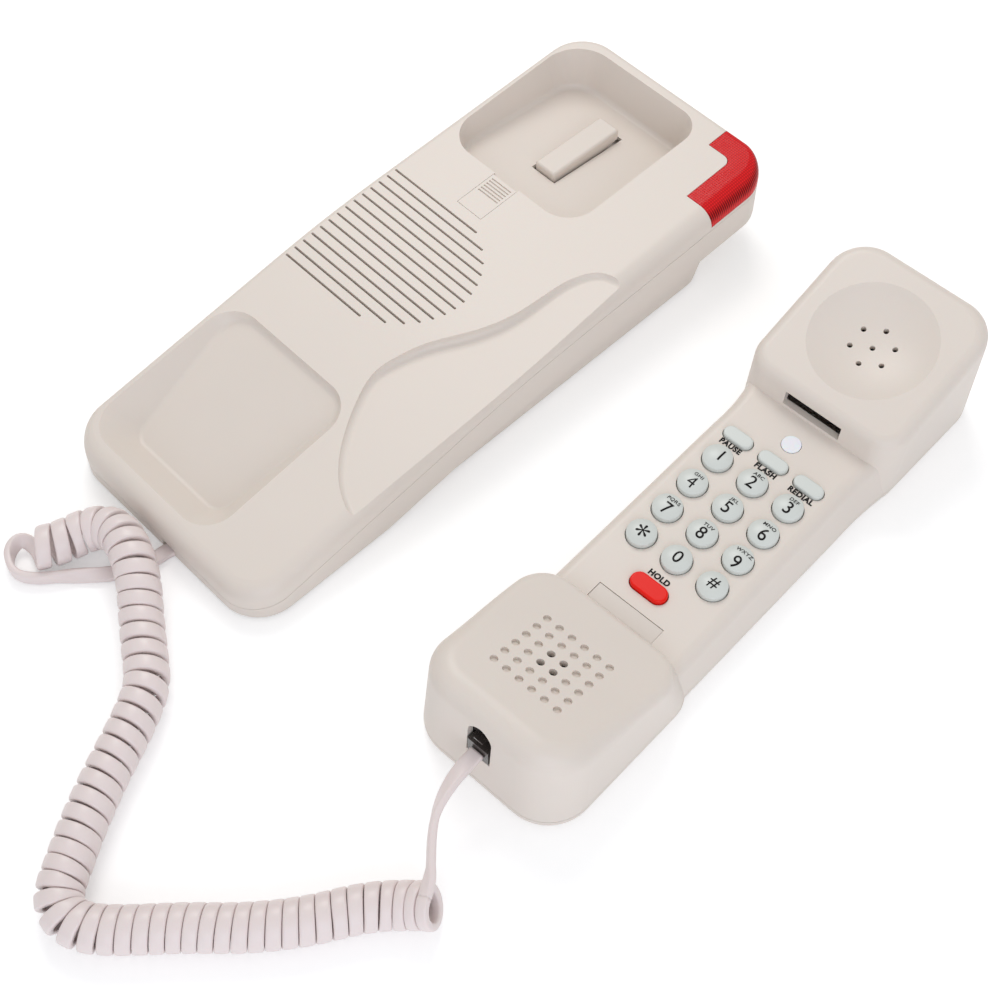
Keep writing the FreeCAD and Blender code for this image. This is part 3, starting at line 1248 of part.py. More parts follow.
def make_front_shell(outer, inner):
    below = box((-REACH, REACH), (-REACH, REACH), (-REACH, HANDSET_SEAM))
    shell = outer.cut(below).cut(inner)
    shell = shell.fuse(ear_bowl(HANDSET_WALL).common(outer))
    for x, y, top in HANDSET_SCREW_PLACES:
        shell = shell.fuse(post(x, y, HANDSET_SEAM + FIT_GAP, top, SCREW_BOSS_RADIUS).common(outer))
    cup = post(0, 0, -MICROPHONE_HEIGHT - HANDSET_WALL, -HANDSET_WALL + 0.5, MICROPHONE_RADIUS + 1.3)
    cup = cup.cut(post(0, 0, -MICROPHONE_HEIGHT - 5.0, -HANDSET_WALL, MICROPHONE_RADIUS + FIT_GAP))
    shell = shell.fuse(mouth_frame(cup))
    holes = [post(x, y, -20.0, 5.0, KEY_RADIUS + KEY_HOLE_GAP) for x, y in key_places()]
    grown = (FUNCTION_KEY_SIZE[0] + 2.0 * KEY_HOLE_GAP, FUNCTION_KEY_SIZE[1] + 2.0 * KEY_HOLE_GAP)
    holes += [oval(x, y, grown, (-20.0, 5.0)) for x, y in function_places()]
    hold_hole = (HOLD_KEY_SIZE[0] + 2.0 * KEY_HOLE_GAP, HOLD_KEY_SIZE[1] + 2.0 * KEY_HOLE_GAP)
    holes.append(oval(0.0, HOLD_KEY_Y, hold_hole,
                      (-20.0, 5.0)))
    holes.append(post(0.0, STATUS_LENS_Y, -20.0, 5.0, STATUS_LENS_RADIUS + FIT_GAP))
    half = CARD_WINDOW[0] / 2.0
    holes.append(box((-half, half),
                     (CARD_WINDOW_Y - CARD_WINDOW[1] / 2.0, CARD_WINDOW_Y + CARD_WINDOW[1] / 2.0),
                     (-CARD_WINDOW_DEPTH, 3.0)))
    shell = shell.cut(keypad_frame(Part.makeCompound(holes)))
    shell = shell.cut(ear_bowl(0.0)).cut(ear_holes()).cut(mouth_holes()).cut(jack_arch(0.0))
    shell = shell.cut(box(HANG_SLOT_X, (40.0, 54.0), HANG_SLOT_Z))
    for x, y, _ in HANDSET_SCREW_PLACES:
        shell = shell.cut(post(x, y, 0.0, HANDSET_SCREW_LOW + SCREW_LENGTH + 1.0, SCREW_RADIUS))
    return handset_frame(max(shell.Solids, key=lambda solid: solid.Volume))


def make_back_shell(outer, inner):
    above = box((-REACH, REACH), (-REACH, REACH), (HANDSET_SEAM - SEAM_GAP, REACH))
    shell = outer.cut(above).cut(inner)
    head_top = HANDSET_SCREW_LOW + SCREW_HEAD_HEIGHT / 2.0
    for x, y, _ in HANDSET_SCREW_PLACES:
        shell = shell.fuse(post(x, y, HANDSET_WALL / 2.0, HANDSET_SEAM - SEAM_GAP, SCREW_BOSS_RADIUS))
        shell = shell.cut(post(x, y, -1.0, HANDSET_SEAM + 1.0, SCREW_RADIUS + FIT_GAP))
        shell = shell.cut(post(x, y, -1.0, head_top, SCREW_HEAD_RADIUS + FIT_GAP))
    for y in (HANDSET_BOARD_NEAR + 4.0, HANDSET_BOARD_FAR - 4.0):
        for x in (-14.0, 14.0):
            shell = shell.fuse(post(x, y, HANDSET_WALL / 2.0, HANDSET_BOARD_Z, BOARD_POST_RADIUS))
    return handset_frame(max(shell.Solids, key=lambda solid: solid.Volume))


def make_membrane():
    """Rubber sheet under the keys, with a contact pad on the board below each of the twelve."""
    top = key_underside() - KEY_TRAVEL - 0.3
    sheet = keypad_frame(box((-HANDSET_BOARD_HALF_WIDTH, HANDSET_BOARD_HALF_WIDTH), (-34.0, 32.0),
                             (top - MEMBRANE_THICKNESS, top)))
    low = HANDSET_BOARD_Z + BOARD_THICKNESS + REST_GAP
    pads = [post(x, y, low, KEYPAD_Z, CONTACT_PAD_RADIUS) for x, y in key_places()]
    above = keypad_frame(box((-REACH, REACH), (-REACH, REACH), (top, REACH)))
    return handset_frame(sheet.fuse(pads).removeSplitter().cut(above))


def make_handset_board():
    board = box((-HANDSET_BOARD_HALF_WIDTH, HANDSET_BOARD_HALF_WIDTH),
                (HANDSET_BOARD_NEAR, HANDSET_BOARD_FAR),
                (HANDSET_BOARD_Z, HANDSET_BOARD_Z + BOARD_THICKNESS))
    return handset_frame(board)


def make_receiver():
    top = -EAR_BOWL_DEPTH - HANDSET_WALL - FIT_GAP
    body = post(0, 0, top - CAPSULE_HEIGHT, top, CAPSULE_RADIUS)
    edges = [edge for edge in body.Edges if edge.BoundBox.ZLength < 0.01]
    return handset_frame(ear_frame(body.makeFillet(1.0, edges)))


def make_microphone():
    top = -HANDSET_WALL - 0.1
    return handset_frame(mouth_frame(post(0, 0, top - MICROPHONE_HEIGHT, top, MICROPHONE_RADIUS)))


def make_handset_screws():
    screws = [screw(x, y, HANDSET_SCREW_LOW) for x, y, _ in HANDSET_SCREW_PLACES]
    return handset_frame(Part.makeCompound(screws))


def make_card():
    half = CARD_WINDOW[0] / 2.0 - FIT_GAP
    depth = CARD_WINDOW[1] / 2.0 - FIT_GAP
    card = box((-half, half), (CARD_WINDOW_Y - depth, CARD_WINDOW_Y + depth),
               (-CARD_WINDOW_DEPTH, -CARD_WINDOW_DEPTH + CARD_THICKNESS))
    return handset_frame(keypad_frame(card))


def make_card_window():
    half = CARD_WINDOW[0] / 2.0 - FIT_GAP
    depth = CARD_WINDOW[1] / 2.0 - FIT_GAP
    window = box((-half, half), (CARD_WINDOW_Y - depth, CARD_WINDOW_Y + depth),
                 (-CARD_WINDOW_DEPTH + CARD_THICKNESS, -0.25))
    return handset_frame(keypad_frame(window))


def make_status_lens():
    low = -HANDSET_WALL - KEY_FLANGE_THICKNESS
    stem = post(0, STATUS_LENS_Y, low, STATUS_LENS_PROUD, STATUS_LENS_RADIUS)
    flange = post(0, STATUS_LENS_Y, low, -HANDSET_WALL - REST_GAP, STATUS_LENS_RADIUS + KEY_FLANGE_EXTRA)
    return handset_frame(keypad_frame(stem.fuse(flange).removeSplitter()))


def save_handset():
    outer = handset_form(0.0)
    inner = handset_form(HANDSET_WALL)
    save(make_front_shell(outer, inner), "handset_front_shell")
    save(make_back_shell(outer, inner), "handset_back_shell")
    names = ("1", "2", "3", "4", "5", "6", "7", "8", "9", "star", "0", "hash")
    for name, (x, y) in zip(names, key_places()):
        save(handset_frame(dial_key(x, y)), "key_" + name)
    for name, (x, y) in zip(("pause", "flash", "redial"), function_places()):
        save(handset_frame(oval_key(x, y, FUNCTION_KEY_SIZE, FUNCTION_KEY_HEIGHT)), "key_" + name)
    save(handset_frame(oval_key(0.0, HOLD_KEY_Y, HOLD_KEY_SIZE, KEY_EDGE_HEIGHT)), "key_hold")
    save(make_status_lens(), "status_lamp_lens")
    save(make_card(), "number_card")
    save(make_card_window(), "card_window")
    save(make_membrane(), "keypad_membrane")
    save(make_handset_board(), "handset_circuit_board")
    save(make_receiver(), "receiver_capsule")
    save(make_microphone(), "microphone_capsule")
    save(make_handset_screws(), "handset_screws")
    save(handset_frame(handset_plug_frame(modular_plug())), "handset_plug")
    save(handset_frame(handset_plug_frame(modular_jack(HANDSET_JACK_INSET))), "handset_jack")


def main():
    os.makedirs("parts", exist_ok=True)
    outer = housing(0.0)
    inner = housing(BASE_WALL)
    save(make_top_cover(outer, inner), "base_top_cover")
    save(make_bottom_cover(outer, inner), "base_bottom_cover")
    save(make_wall_bracket(), "wall_bracket")
    save(make_hook_lever(), "hook_lever")
    save(lever_axle(LEVER_PIN_RADIUS), "hook_pivot_pin")
    save(make_hook_spring(), "hook_spring")
    save(make_hook_switch(), "hook_switch")
    save(make_handset_tab(), "handset_tab")
    save(make_lamp_lens(outer), "message_lamp_lens")
    save(make_lamp_board(), "message_lamp_board")
    save(make_lamp_led(), "message_lamp_led")
    save(make_base_board(), "base_circuit_board")
    save(make_ballast_plate(), "ballast_plate")
    save(make_ringer(), "ringer")
    save(make_rubber_feet(), "rubber_feet")
    save(make_base_screws(), "base_screws")
    save(make_line_jack(), "line_jack")
    save(base_plug_frame(modular_plug()), "base_plug")
    save(base_plug_frame(modular_jack(BASE_JACK_INSET)), "base_cord_jack")
    save_handset()
    save_cord()


main()
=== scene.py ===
"""Looks of a slimline wall telephone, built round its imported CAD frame.

Everything is in metres in the row frame: the middle of the cradle is the origin, +Y runs to its ear end, +X to
the handset that lies beside it, and +Z is up from the table.
"""

import json
import math

import bmesh
import bpy
import numpy as np
from mathutils import Matrix, Vector


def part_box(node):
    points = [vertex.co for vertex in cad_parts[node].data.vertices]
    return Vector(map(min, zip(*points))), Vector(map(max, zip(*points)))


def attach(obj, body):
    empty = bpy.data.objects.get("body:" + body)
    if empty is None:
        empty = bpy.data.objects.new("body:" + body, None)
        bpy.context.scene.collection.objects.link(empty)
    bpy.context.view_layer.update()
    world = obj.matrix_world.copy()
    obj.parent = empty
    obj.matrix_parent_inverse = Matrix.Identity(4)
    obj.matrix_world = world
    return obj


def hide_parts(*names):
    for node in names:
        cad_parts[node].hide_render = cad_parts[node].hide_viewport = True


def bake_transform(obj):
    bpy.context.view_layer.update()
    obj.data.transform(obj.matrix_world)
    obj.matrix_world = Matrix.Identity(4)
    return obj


bl_info = {
    "name": "Slimline wall telephone",
    "version": (1, 0, 0),
    "blender": (4, 5, 0),
    "location": "3D View > Sidebar > Telephone",
    "description": "Finishes, key legends and curly cord of a slimline wall telephone",
    "category": "Object",
}

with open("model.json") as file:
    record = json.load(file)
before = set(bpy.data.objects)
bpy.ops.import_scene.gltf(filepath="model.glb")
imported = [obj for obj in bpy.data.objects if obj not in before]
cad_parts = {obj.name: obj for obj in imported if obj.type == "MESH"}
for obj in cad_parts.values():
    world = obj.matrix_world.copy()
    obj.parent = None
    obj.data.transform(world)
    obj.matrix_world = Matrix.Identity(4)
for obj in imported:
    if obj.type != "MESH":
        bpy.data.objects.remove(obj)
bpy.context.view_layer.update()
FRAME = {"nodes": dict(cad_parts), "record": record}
NODES = FRAME["nodes"]
MM = 0.001

# Handset's place on the table and its keypad's plane, as in the CAD source.
HANDSET_PLACE = (0.11942, 0.00378)
HANDSET_YAW = math.radians(3.302)
KEYPAD_TILT = math.radians(1.856)
KEYPAD_HEIGHT = 0.0174

# Control points of the coil's middle line, from its handset end to its cradle end.
COIL_ROUTE = (
    (0.1463, -0.1358, 0.0102), (0.1408, -0.1389, 0.0068), (0.1325, -0.1485, 0.0068), (0.125, -0.162, 0.0068),
    (0.115, -0.175, 0.0068), (0.1035, -0.1865, 0.0068), (0.0965, -0.1945, 0.0068), (0.091, -0.2004, 0.0068),
    (0.0862, -0.2048, 0.0068), (0.0806, -0.2075, 0.0068), (0.075, -0.2068, 0.0068), (0.071, -0.203, 0.0068),
    (0.068, -0.1983, 0.0068), (0.062, -0.1895, 0.0068), (0.0545, -0.1765, 0.0068), (0.048, -0.163, 0.0068),
    (0.043, -0.154, 0.0068), (0.0385, -0.148, 0.0068), (0.029, -0.142, 0.0068), (0.02, -0.136, 0.0072),
    (0.0125, -0.1305, 0.0092), (0.006, -0.127, 0.011), (-0.001, -0.1246, 0.011), (-0.007, -0.1238, 0.0098),
    (-0.012, -0.1258, 0.0084), (-0.0152, -0.1302, 0.0072), (-0.0167, -0.1358, 0.0068),
    (-0.0184, -0.1405, 0.0068), (-0.0205, -0.1442, 0.0068),
)

# Control points of the plain stretches, each from its plug to the coil.
HANDSET_LEAD = (
    (0.1254, -0.09985, 0.02), (0.1258, -0.1065, 0.0197), (0.1272, -0.113, 0.019), (0.1296, -0.1192, 0.018),
    (0.1336, -0.1246, 0.0167),
)
CRADLE_LEAD = (
    (0.024, -0.0915, 0.0033), (0.024, -0.0927, 0.0033), (0.024, -0.0964, 0.0023), (0.0189, -0.1046, 0.0019),
    (0.01, -0.1063, 0.00165), (0.0046, -0.1133, 0.00165), (0.0042, -0.12, 0.00165), (0.0024, -0.127, 0.00165),
    (-0.0012, -0.1332, 0.00185), (-0.006, -0.139, 0.0023), (-0.0104, -0.1444, 0.0026), (-0.015, -0.1504, 0.0027),
    (-0.0198, -0.1536, 0.0029), (-0.0252, -0.1524, 0.0031), (-0.0284, -0.1489, 0.0034), (-0.0288, -0.1447, 0.0038),
)

# How far the leads run straight on from the coil, and how far the cradle's rises in that run: its edge has to clear
# the table as it twists.
HANDSET_RUN = 5.0 * MM
CRADLE_RUN = 3.8 * MM
CRADLE_RISE = 0.4 * MM

# Share of the lead's length from its first point, and the angle of its face from upright there in degrees. The end
# at the coil takes the coil's own angle. The cradle's lead starts at the coil and the handset's at its plug.
CRADLE_TWIST = ((0.0, None), (0.17, 90.0), (0.34, 90.0), (0.5, 10.0), (0.62, 0.0), (1.0, 0.0))
HANDSET_TWIST = ((0.0, 0.0), (0.12, 5.0), (0.5, 80.0), (0.8, 80.0), (1.0, None))
CRADLE_LEAD_POINTS = 130
HANDSET_LEAD_POINTS = 80

# Distance along the coil's middle line in millimetres, and the pitch of its turns there.
PITCH_STATIONS = ((0.0, 3.9), (60.0, 3.9), (112.0, 4.1), (125.0, 4.7), (160.0, 4.9), (195.0, 5.1), (206.0, 4.4),
                  (238.0, 4.5), (251.0, 5.0))
TURNS = 52.5
POINTS_PER_TURN = 40

# The band narrows by this much in the turns, keeps this gap to its neighbours and this width where they are tight,
# and widens over this length to a lead's full width.
TURN_EASE = 0.2 * MM
TURN_GAP = 0.15 * MM
NARROWEST_TURN = 1.6 * MM
WIDENING = 6.0 * MM

# Spacing of the stations on the coil's middle line, and how many on each side are averaged for its direction.
COIL_STEP = 0.5 * MM
SMOOTHED_STATIONS = 6

# Points round the band, and the power that squares its section: 1 is an ellipse and 0 a sharp rectangle.
RING_POINTS = 16
RING_POWER = 0.45

# Where the digits, letters and words stand from the middle of their key, in millimetres along the rows and the
# columns of the keypad.
DIAL_LEGENDS = (("key_1", "1", (1.0, 0.4), ""), ("key_2", "2", (0.2, -0.9), "ABC"), ("key_3", "3", (0.5, -0.9), "DEF"),
                ("key_4", "4", (0.2, -0.9), "GHI"), ("key_5", "5", (0.2, -0.9), "JKL"),
                ("key_6", "6", (0.7, -1.2), "MNO"), ("key_7", "7", (0.6, -1.2), "PQRS"),
                ("key_8", "8", (0.2, -0.9), "TUV"), ("key_9", "9", (0.5, -1.9), "WXYZ"),
                ("key_star", "*", (0.3, 0.0), ""), ("key_0", "0", (0.3, 0.0), ""), ("key_hash", "#", (0.2, 0.0), ""))
WORD_LEGENDS = (("key_pause", "PAUSE", -3.75), ("key_flash", "FLASH", -3.75), ("key_redial", "REDIAL", -3.75),
                ("key_hold", "HOLD", 4.8))
LETTERS_PLACE = (0.5 * MM, 2.25 * MM)

# Share of the digits' height that the two signs have, and how much each outline is swollen: a 4 closes up if it is.
SIGN_SCALE = {"*": 1.65, "#": 0.93}
DIGIT_WEIGHT = 0.025 * MM
OTHER_WEIGHTS = {"*": 0.06 * MM, "4": -0.03 * MM}
LETTER_WEIGHT = 0.02 * MM
WORD_WEIGHT = 0.13 * MM
DIGIT_SPACING = 1.0
WORD_SPACING = 1.1

# Height of a capital as a share of the typeface's size, and the longest edge that still follows a dome.
CAPITAL_SHARE = 0.7
LONGEST_EDGE = 0.6 * MM

# Radius of the dial keys' domes, as in the CAD source.
DOME_RADIUS = 9.146 * MM
# Height of the ink over the plastic: the real film is thinner, but it would sink into the facets of the domes.
INK_LIFT = 0.07 * MM

# Size of the faint clouds in a moulding's colour, and spacing of the prisms in the message lamp's lens.
CLOUD_SIZE = 30.0 * MM
PRISM_SPACING = 0.85 * MM

# The floor lies a hair under the table level, and glows this much for the camera, which makes its white whole.
FLOOR_REACH = 4.0
FLOOR_LEVEL = -0.1 * MM
FLOOR_GLOW = 0.3

# Lamps: place, size and tint. Both look at the middle of the two halves.
LAMP_TARGET = (0.06, -0.03, 0.0)
KEY_LAMP = ((-0.45, 0.35, 0.85), 0.5, (1.0, 0.985, 0.96))
FILL_LAMP = ((0.8, -0.6, 0.4), 0.9, (0.84, 0.89, 1.0))

# Camera, from the measured lines of the photograph.
CAMERA_PLACE = (0.2821, -0.2430, 0.4673)
CAMERA_RIGHT = (0.6965, 0.7176, 0.0)
CAMERA_UP = (-0.599, 0.582, 0.550)
CAMERA_LENS = 64.59
SENSOR_WIDTH = 36.0
NEAREST_SEEN = 10.0 * MM


def linear(hex_colour):
    """Linear RGBA of an sRGB hex colour."""
    values = [int(hex_colour[index:index + 2], 16) / 255.0 for index in (1, 3, 5)]
    return tuple(v / 12.92 if v <= 0.04045 else ((v + 0.055) / 1.055) ** 2.4 for v in values) + (1.0,)


# Materials


def add_node(tree, kind, inputs=None, **settings):
    """A node with its settings, whose inputs are given as values or as the sockets that feed them."""
    item = tree.nodes.new(kind)
    for name, value in settings.items():
        setattr(item, name, value)
    for name, value in (inputs or {}).items():
        if isinstance(value, bpy.types.NodeSocket):
            tree.links.new(value, item.inputs[name])
        else:
            item.inputs[name].default_value = value
    return item


def new_material(name):
    """An empty material with its output, and the Object coordinates that its patterns read."""
    material = bpy.data.materials.new(name)
    material.use_nodes = True
    tree = material.node_tree
    tree.nodes.clear()
    output = add_node(tree, "ShaderNodeOutputMaterial")
    place = add_node(tree, "ShaderNodeTexCoord").outputs["Object"]
    return material, tree, output, place


def moulded_plastic(name, colour, roughness, grain=0.45 * MM, grain_depth=0.004 * MM, mottle=0.02, ior=1.53,
                    subsurface=0.0, gloss=0.5):
    """Injection moulded plastic: an even colour, a faint grain from the mould and a soft sheen.

    A mould's real grain is about 0.1 mm, and it is drawn coarser, so that it shows.
    """
    material, tree, output, place = new_material(name)
    clouds = add_node(tree, "ShaderNodeTexNoise", {"Vector": place, "Scale": 1.0 / CLOUD_SIZE, "Detail": 3.0})
    base = linear(colour)
    darker = tuple(channel * (1.0 - 2.0 * mottle) for channel in base[:3]) + (1.0,)
    tone = add_node(tree, "ShaderNodeMix", {0: clouds.outputs["Fac"], 6: darker, 7: base}, data_type="RGBA")
    fine = add_node(tree, "ShaderNodeTexNoise", {"Vector": place, "Scale": 1.0 / grain, "Detail": 2.0})
    sheen = add_node(tree, "ShaderNodeMapRange", {"Value": clouds.outputs["Fac"], "To Min": roughness - 0.03,
                                                  "To Max": roughness + 0.04})
    bump = add_node(tree, "ShaderNodeBump", {"Height": fine.outputs["Fac"], "Strength": 0.35,
                                             "Distance": grain_depth})
    shader = add_node(tree, "ShaderNodeBsdfPrincipled",
                      {"Base Color": tone.outputs[2], "Roughness": sheen.outputs["Result"], "IOR": ior,
                       "Specular IOR Level": gloss, "Subsurface Weight": subsurface,
                       "Subsurface Scale": 1.5 * MM, "Normal": bump.outputs["Normal"]})
    tree.links.new(shader.outputs["BSDF"], output.inputs["Surface"])
    return material


def red_lens(name, colour):
    """Red acrylic with fine prisms on its inside: a square grid under its top and upright ribs under its sides.

    Where it bends over, it looks into itself along the ribs; the dark between them there is painted shade, set by
    which way each face looks, as is the painted light of its top and sides.
    """
    material, tree, output, place = new_material(name)
    # A Wave texture repeats its bands every tau / (20 x scale).
    across, along = [add_node(tree, "ShaderNodeTexWave", {"Vector": place, "Scale": math.tau / (20.0 * PRISM_SPACING)},
                              bands_direction=axis).outputs["Fac"] for axis in ("X", "Y")]
    surface = add_node(tree, "ShaderNodeNewGeometry")
    facing = add_node(tree, "ShaderNodeSeparateXYZ", {"Vector": surface.outputs["Normal"]}).outputs
    on_end = add_node(tree, "ShaderNodeMath", {0: facing["Y"], 1: facing["X"]}, operation="GREATER_THAN")
    ribs = add_node(tree, "ShaderNodeMix", {0: on_end.outputs[0], 2: along, 3: across}, data_type="FLOAT").outputs[0]
    grid = add_node(tree, "ShaderNodeMath", {0: across, 1: along}, operation="MULTIPLY")
    sharp = add_node(tree, "ShaderNodeMath", {0: ribs, 1: 2.0}, operation="POWER")
    # Each row: what is read, where it starts and ends, and what that gives.
    # Painted light and shade by which way the face looks: painted light on the top and the upright sides, painted
    # shade on the bend between the ribs.
    bend_shade_share, upright, painted_top_light, painted_bend_shade, painted_side_light = [
        add_node(tree, "ShaderNodeMapRange", {"Value": value, "From Min": low, "From Max": high, "To Min": first,
                                              "To Max": last}).outputs["Result"]
        for value, low, high, first, last in (
            (facing["Z"], 0.88, 0.66, 0.0, 1.0), (facing["Z"], 0.45, 0.25, 0.0, 1.0),
            (grid.outputs[0], 0.0, 0.6, 0.62, 1.0), (sharp.outputs[0], 0.0, 1.0, 0.02, 0.9),
            (ribs, 0.0, 1.0, 0.6, 1.0))]
    light = painted_top_light
    for share, next_light in ((bend_shade_share, painted_bend_shade), (upright, painted_side_light)):
        light = add_node(tree, "ShaderNodeMix", {0: share, 2: light, 3: next_light}, data_type="FLOAT").outputs[0]
    # Painted shade: the red falls to a near-black red where the painted light is low.
    tone = add_node(tree, "ShaderNodeMix", {0: light, 6: (0.09, 0.0, 0.0, 1.0), 7: linear(colour)}, data_type="RGBA")
    bump = add_node(tree, "ShaderNodeBump", {"Height": ribs, "Strength": 0.5, "Distance": 0.03 * MM})
    shader = add_node(tree, "ShaderNodeBsdfPrincipled",
                      {"Base Color": tone.outputs[2], "Roughness": 0.14, "IOR": 1.49, "Specular IOR Level": 0.15,
                       "Normal": bump.outputs["Normal"]})
    tree.links.new(shader.outputs["BSDF"], output.inputs["Surface"])
    return material


def clear_plastic(name, colour, roughness, transmission, ior=1.49):
    """Clear or smoked polycarbonate, or clear epoxy: smooth, seen through in part."""
    material, tree, output, place = new_material(name)
    cloud = add_node(tree, "ShaderNodeTexNoise", {"Vector": place, "Scale": 1.0 / (4.0 * MM)})
    smooth = add_node(tree, "ShaderNodeMapRange", {"Value": cloud.outputs["Fac"], "To Min": roughness,
                                                   "To Max": roughness + 0.06})
    shader = add_node(tree, "ShaderNodeBsdfPrincipled", {"Base Color": linear(colour), "IOR": ior,
                                                         "Roughness": smooth.outputs["Result"],
                                                         "Transmission Weight": transmission})
    tree.links.new(shader.outputs["BSDF"], output.inputs["Surface"])
    return material


def printed_ink(name, colour):
    """Pad printed ink: dense, flat and a little matt, with the faint unevenness of the pad."""
    material, tree, output, place = new_material(name)
    speckle = add_node(tree, "ShaderNodeTexNoise", {"Vector": place, "Scale": 1.0 / (0.2 * MM)})
    dull = add_node(tree, "ShaderNodeMapRange", {"Value": speckle.outputs["Fac"], "To Min": 0.45, "To Max": 0.65})
    shader = add_node(tree, "ShaderNodeBsdfPrincipled", {"Base Color": linear(colour), "Specular IOR Level": 0.2,
                                                         "Roughness": dull.outputs["Result"]})
    tree.links.new(shader.outputs["BSDF"], output.inputs["Surface"])
    return material


def brushed_steel(name, colour):
    """Zinc plated steel: bright grey metal with a fine uneven dullness."""
    material, tree, output, place = new_material(name)
    spangle = add_node(tree, "ShaderNodeTexNoise", {"Vector": place, "Scale": 1.0 / (0.8 * MM), "Detail": 4.0})
    dull = add_node(tree, "ShaderNodeMapRange", {"Value": spangle.outputs["Fac"], "To Min": 0.28, "To Max": 0.45})
    shader = add_node(tree, "ShaderNodeBsdfPrincipled", {"Base Color": linear(colour), "Metallic": 1.0,
                                                         "Roughness": dull.outputs["Result"]})
    tree.links.new(shader.outputs["BSDF"], output.inputs["Surface"])
    return material


# Curly cord


def spline_line(points):
    """Points read from the smooth line of order 3 whose control points are given."""
    curve = bpy.data.curves.new("line", "CURVE")
    curve.dimensions = "3D"
    curve.resolution_u = 32
    spline = curve.splines.new("NURBS")
    spline.points.add(len(points) - 1)
    spline.points.foreach_set("co", np.column_stack([points, np.ones(len(points))]).ravel())
    spline.order_u = 3
    spline.use_endpoint_u = True
    holder = bpy.data.objects.new("line", curve)
    bpy.context.scene.collection.objects.link(holder)
    bpy.context.view_layer.update()
    mesh = bpy.data.meshes.new_from_object(holder)
    line = np.zeros(len(mesh.vertices) * 3)
    mesh.vertices.foreach_get("co", line)
    bpy.data.objects.remove(holder)
    bpy.data.curves.remove(curve)
    bpy.data.meshes.remove(mesh)
    return line.reshape(-1, 3)


def distances(line):
    """Distance of each point along the line."""
    return np.concatenate([[0.0], np.cumsum(np.linalg.norm(np.diff(line, axis=0), axis=1))])


def resampled(line, stations):
    """Points of the line at the given distances along it."""
    along = distances(line)
    return np.column_stack([np.interp(stations, along, line[:, axis]) for axis in range(3)])


def unit(vectors):
    """Each row divided by its length."""
    return vectors / np.linalg.norm(vectors, axis=1, keepdims=True)


def directions(line):
    """The way the line goes at each point: the unit vector of the difference of its neighbours."""
    return unit(np.gradient(line, axis=0))


def coil_path(radius):
    """The strand's middle: a circle round the middle line that advances by the pitch with each left-handed turn.

    A point is the middle line's point plus radius * (aside * cos a + above * sin a), where a falls by a full circle
    with each turn, and the turns are spread along the line by the inverse of their pitch.
    """
    line = spline_line(np.array(COIL_ROUTE))
    count = int(distances(line)[-1] / COIL_STEP)
    stations = np.linspace(0.0, distances(line)[-1], count)
    line = resampled(line, stations)
    window = 2 * SMOOTHED_STATIONS + 1
    padded = np.pad(line, ((SMOOTHED_STATIONS, SMOOTHED_STATIONS), (0, 0)), mode="edge")
    totals = np.cumsum(np.vstack([np.zeros(3), padded]), axis=0)
    way = directions((totals[window:] - totals[:-window]) / window)
    pitches = np.array(PITCH_STATIONS) * MM
    advance = 1.0 / np.interp(stations, pitches[:, 0], pitches[:, 1])
    wound = np.concatenate([[0.0], np.cumsum((advance[1:] + advance[:-1]) / 2.0 * np.diff(stations))])
    wound *= TURNS / wound[-1]
    turns = np.linspace(0.0, TURNS, int(TURNS * POINTS_PER_TURN) + 1)
    places = np.interp(turns, wound, stations)
    middle = resampled(line, places)
    heading = unit(np.column_stack([np.interp(places, stations, way[:, axis]) for axis in range(3)]))
    aside = unit(np.cross((0.0, 0.0, 1.0), heading))
    above = np.cross(heading, aside)
    angle = (math.pi / 2.0 - math.tau * turns)[:, None]
    outward = aside * np.cos(angle) + above * np.sin(angle)
    return middle + outward * radius, outward


def coil_widths(path, strand_width):
    """Width of the band: nearly its full width, or what the turns before and after it leave."""
    spacing = np.linalg.norm(path[POINTS_PER_TURN:] - path[:-POINTS_PER_TURN], axis=1)
    before = np.concatenate([np.full(POINTS_PER_TURN, spacing[0]), spacing])
    after = np.concatenate([spacing, np.full(POINTS_PER_TURN, spacing[-1])])
    return np.clip(np.minimum(before, after) - TURN_GAP, NARROWEST_TURN, strand_width - TURN_EASE)


def twisted_normals(path, stations, joined):
    """The band's face direction: up, turned about the path by the angle that its stations give.

    The station without an angle lies at the coil, where the face looks the coil's way, or straight away from it.
    """
    way = directions(path)
    share = distances(path) / distances(path)[-1]
    up = unit(np.array((0.0, 0.0, 1.0)) - way * way[:, 2:3])
    aside = np.cross(way, up)
    shares, angles = map(list, zip(*stations))
    place = angles.index(None)
    end, beside = (0, 1) if place == 0 else (-1, place - 1)
    exact = math.degrees(math.atan2(np.dot(joined, aside[end]), np.dot(joined, up[end])))
    angles[place] = exact + 180.0 * round((angles[beside] - exact) / 180.0)
    angle = np.radians(np.interp(share, shares, angles))[:, None]
    normals = up * np.cos(angle) + aside * np.sin(angle)
    return normals * np.sign(np.dot(normals[end], joined))


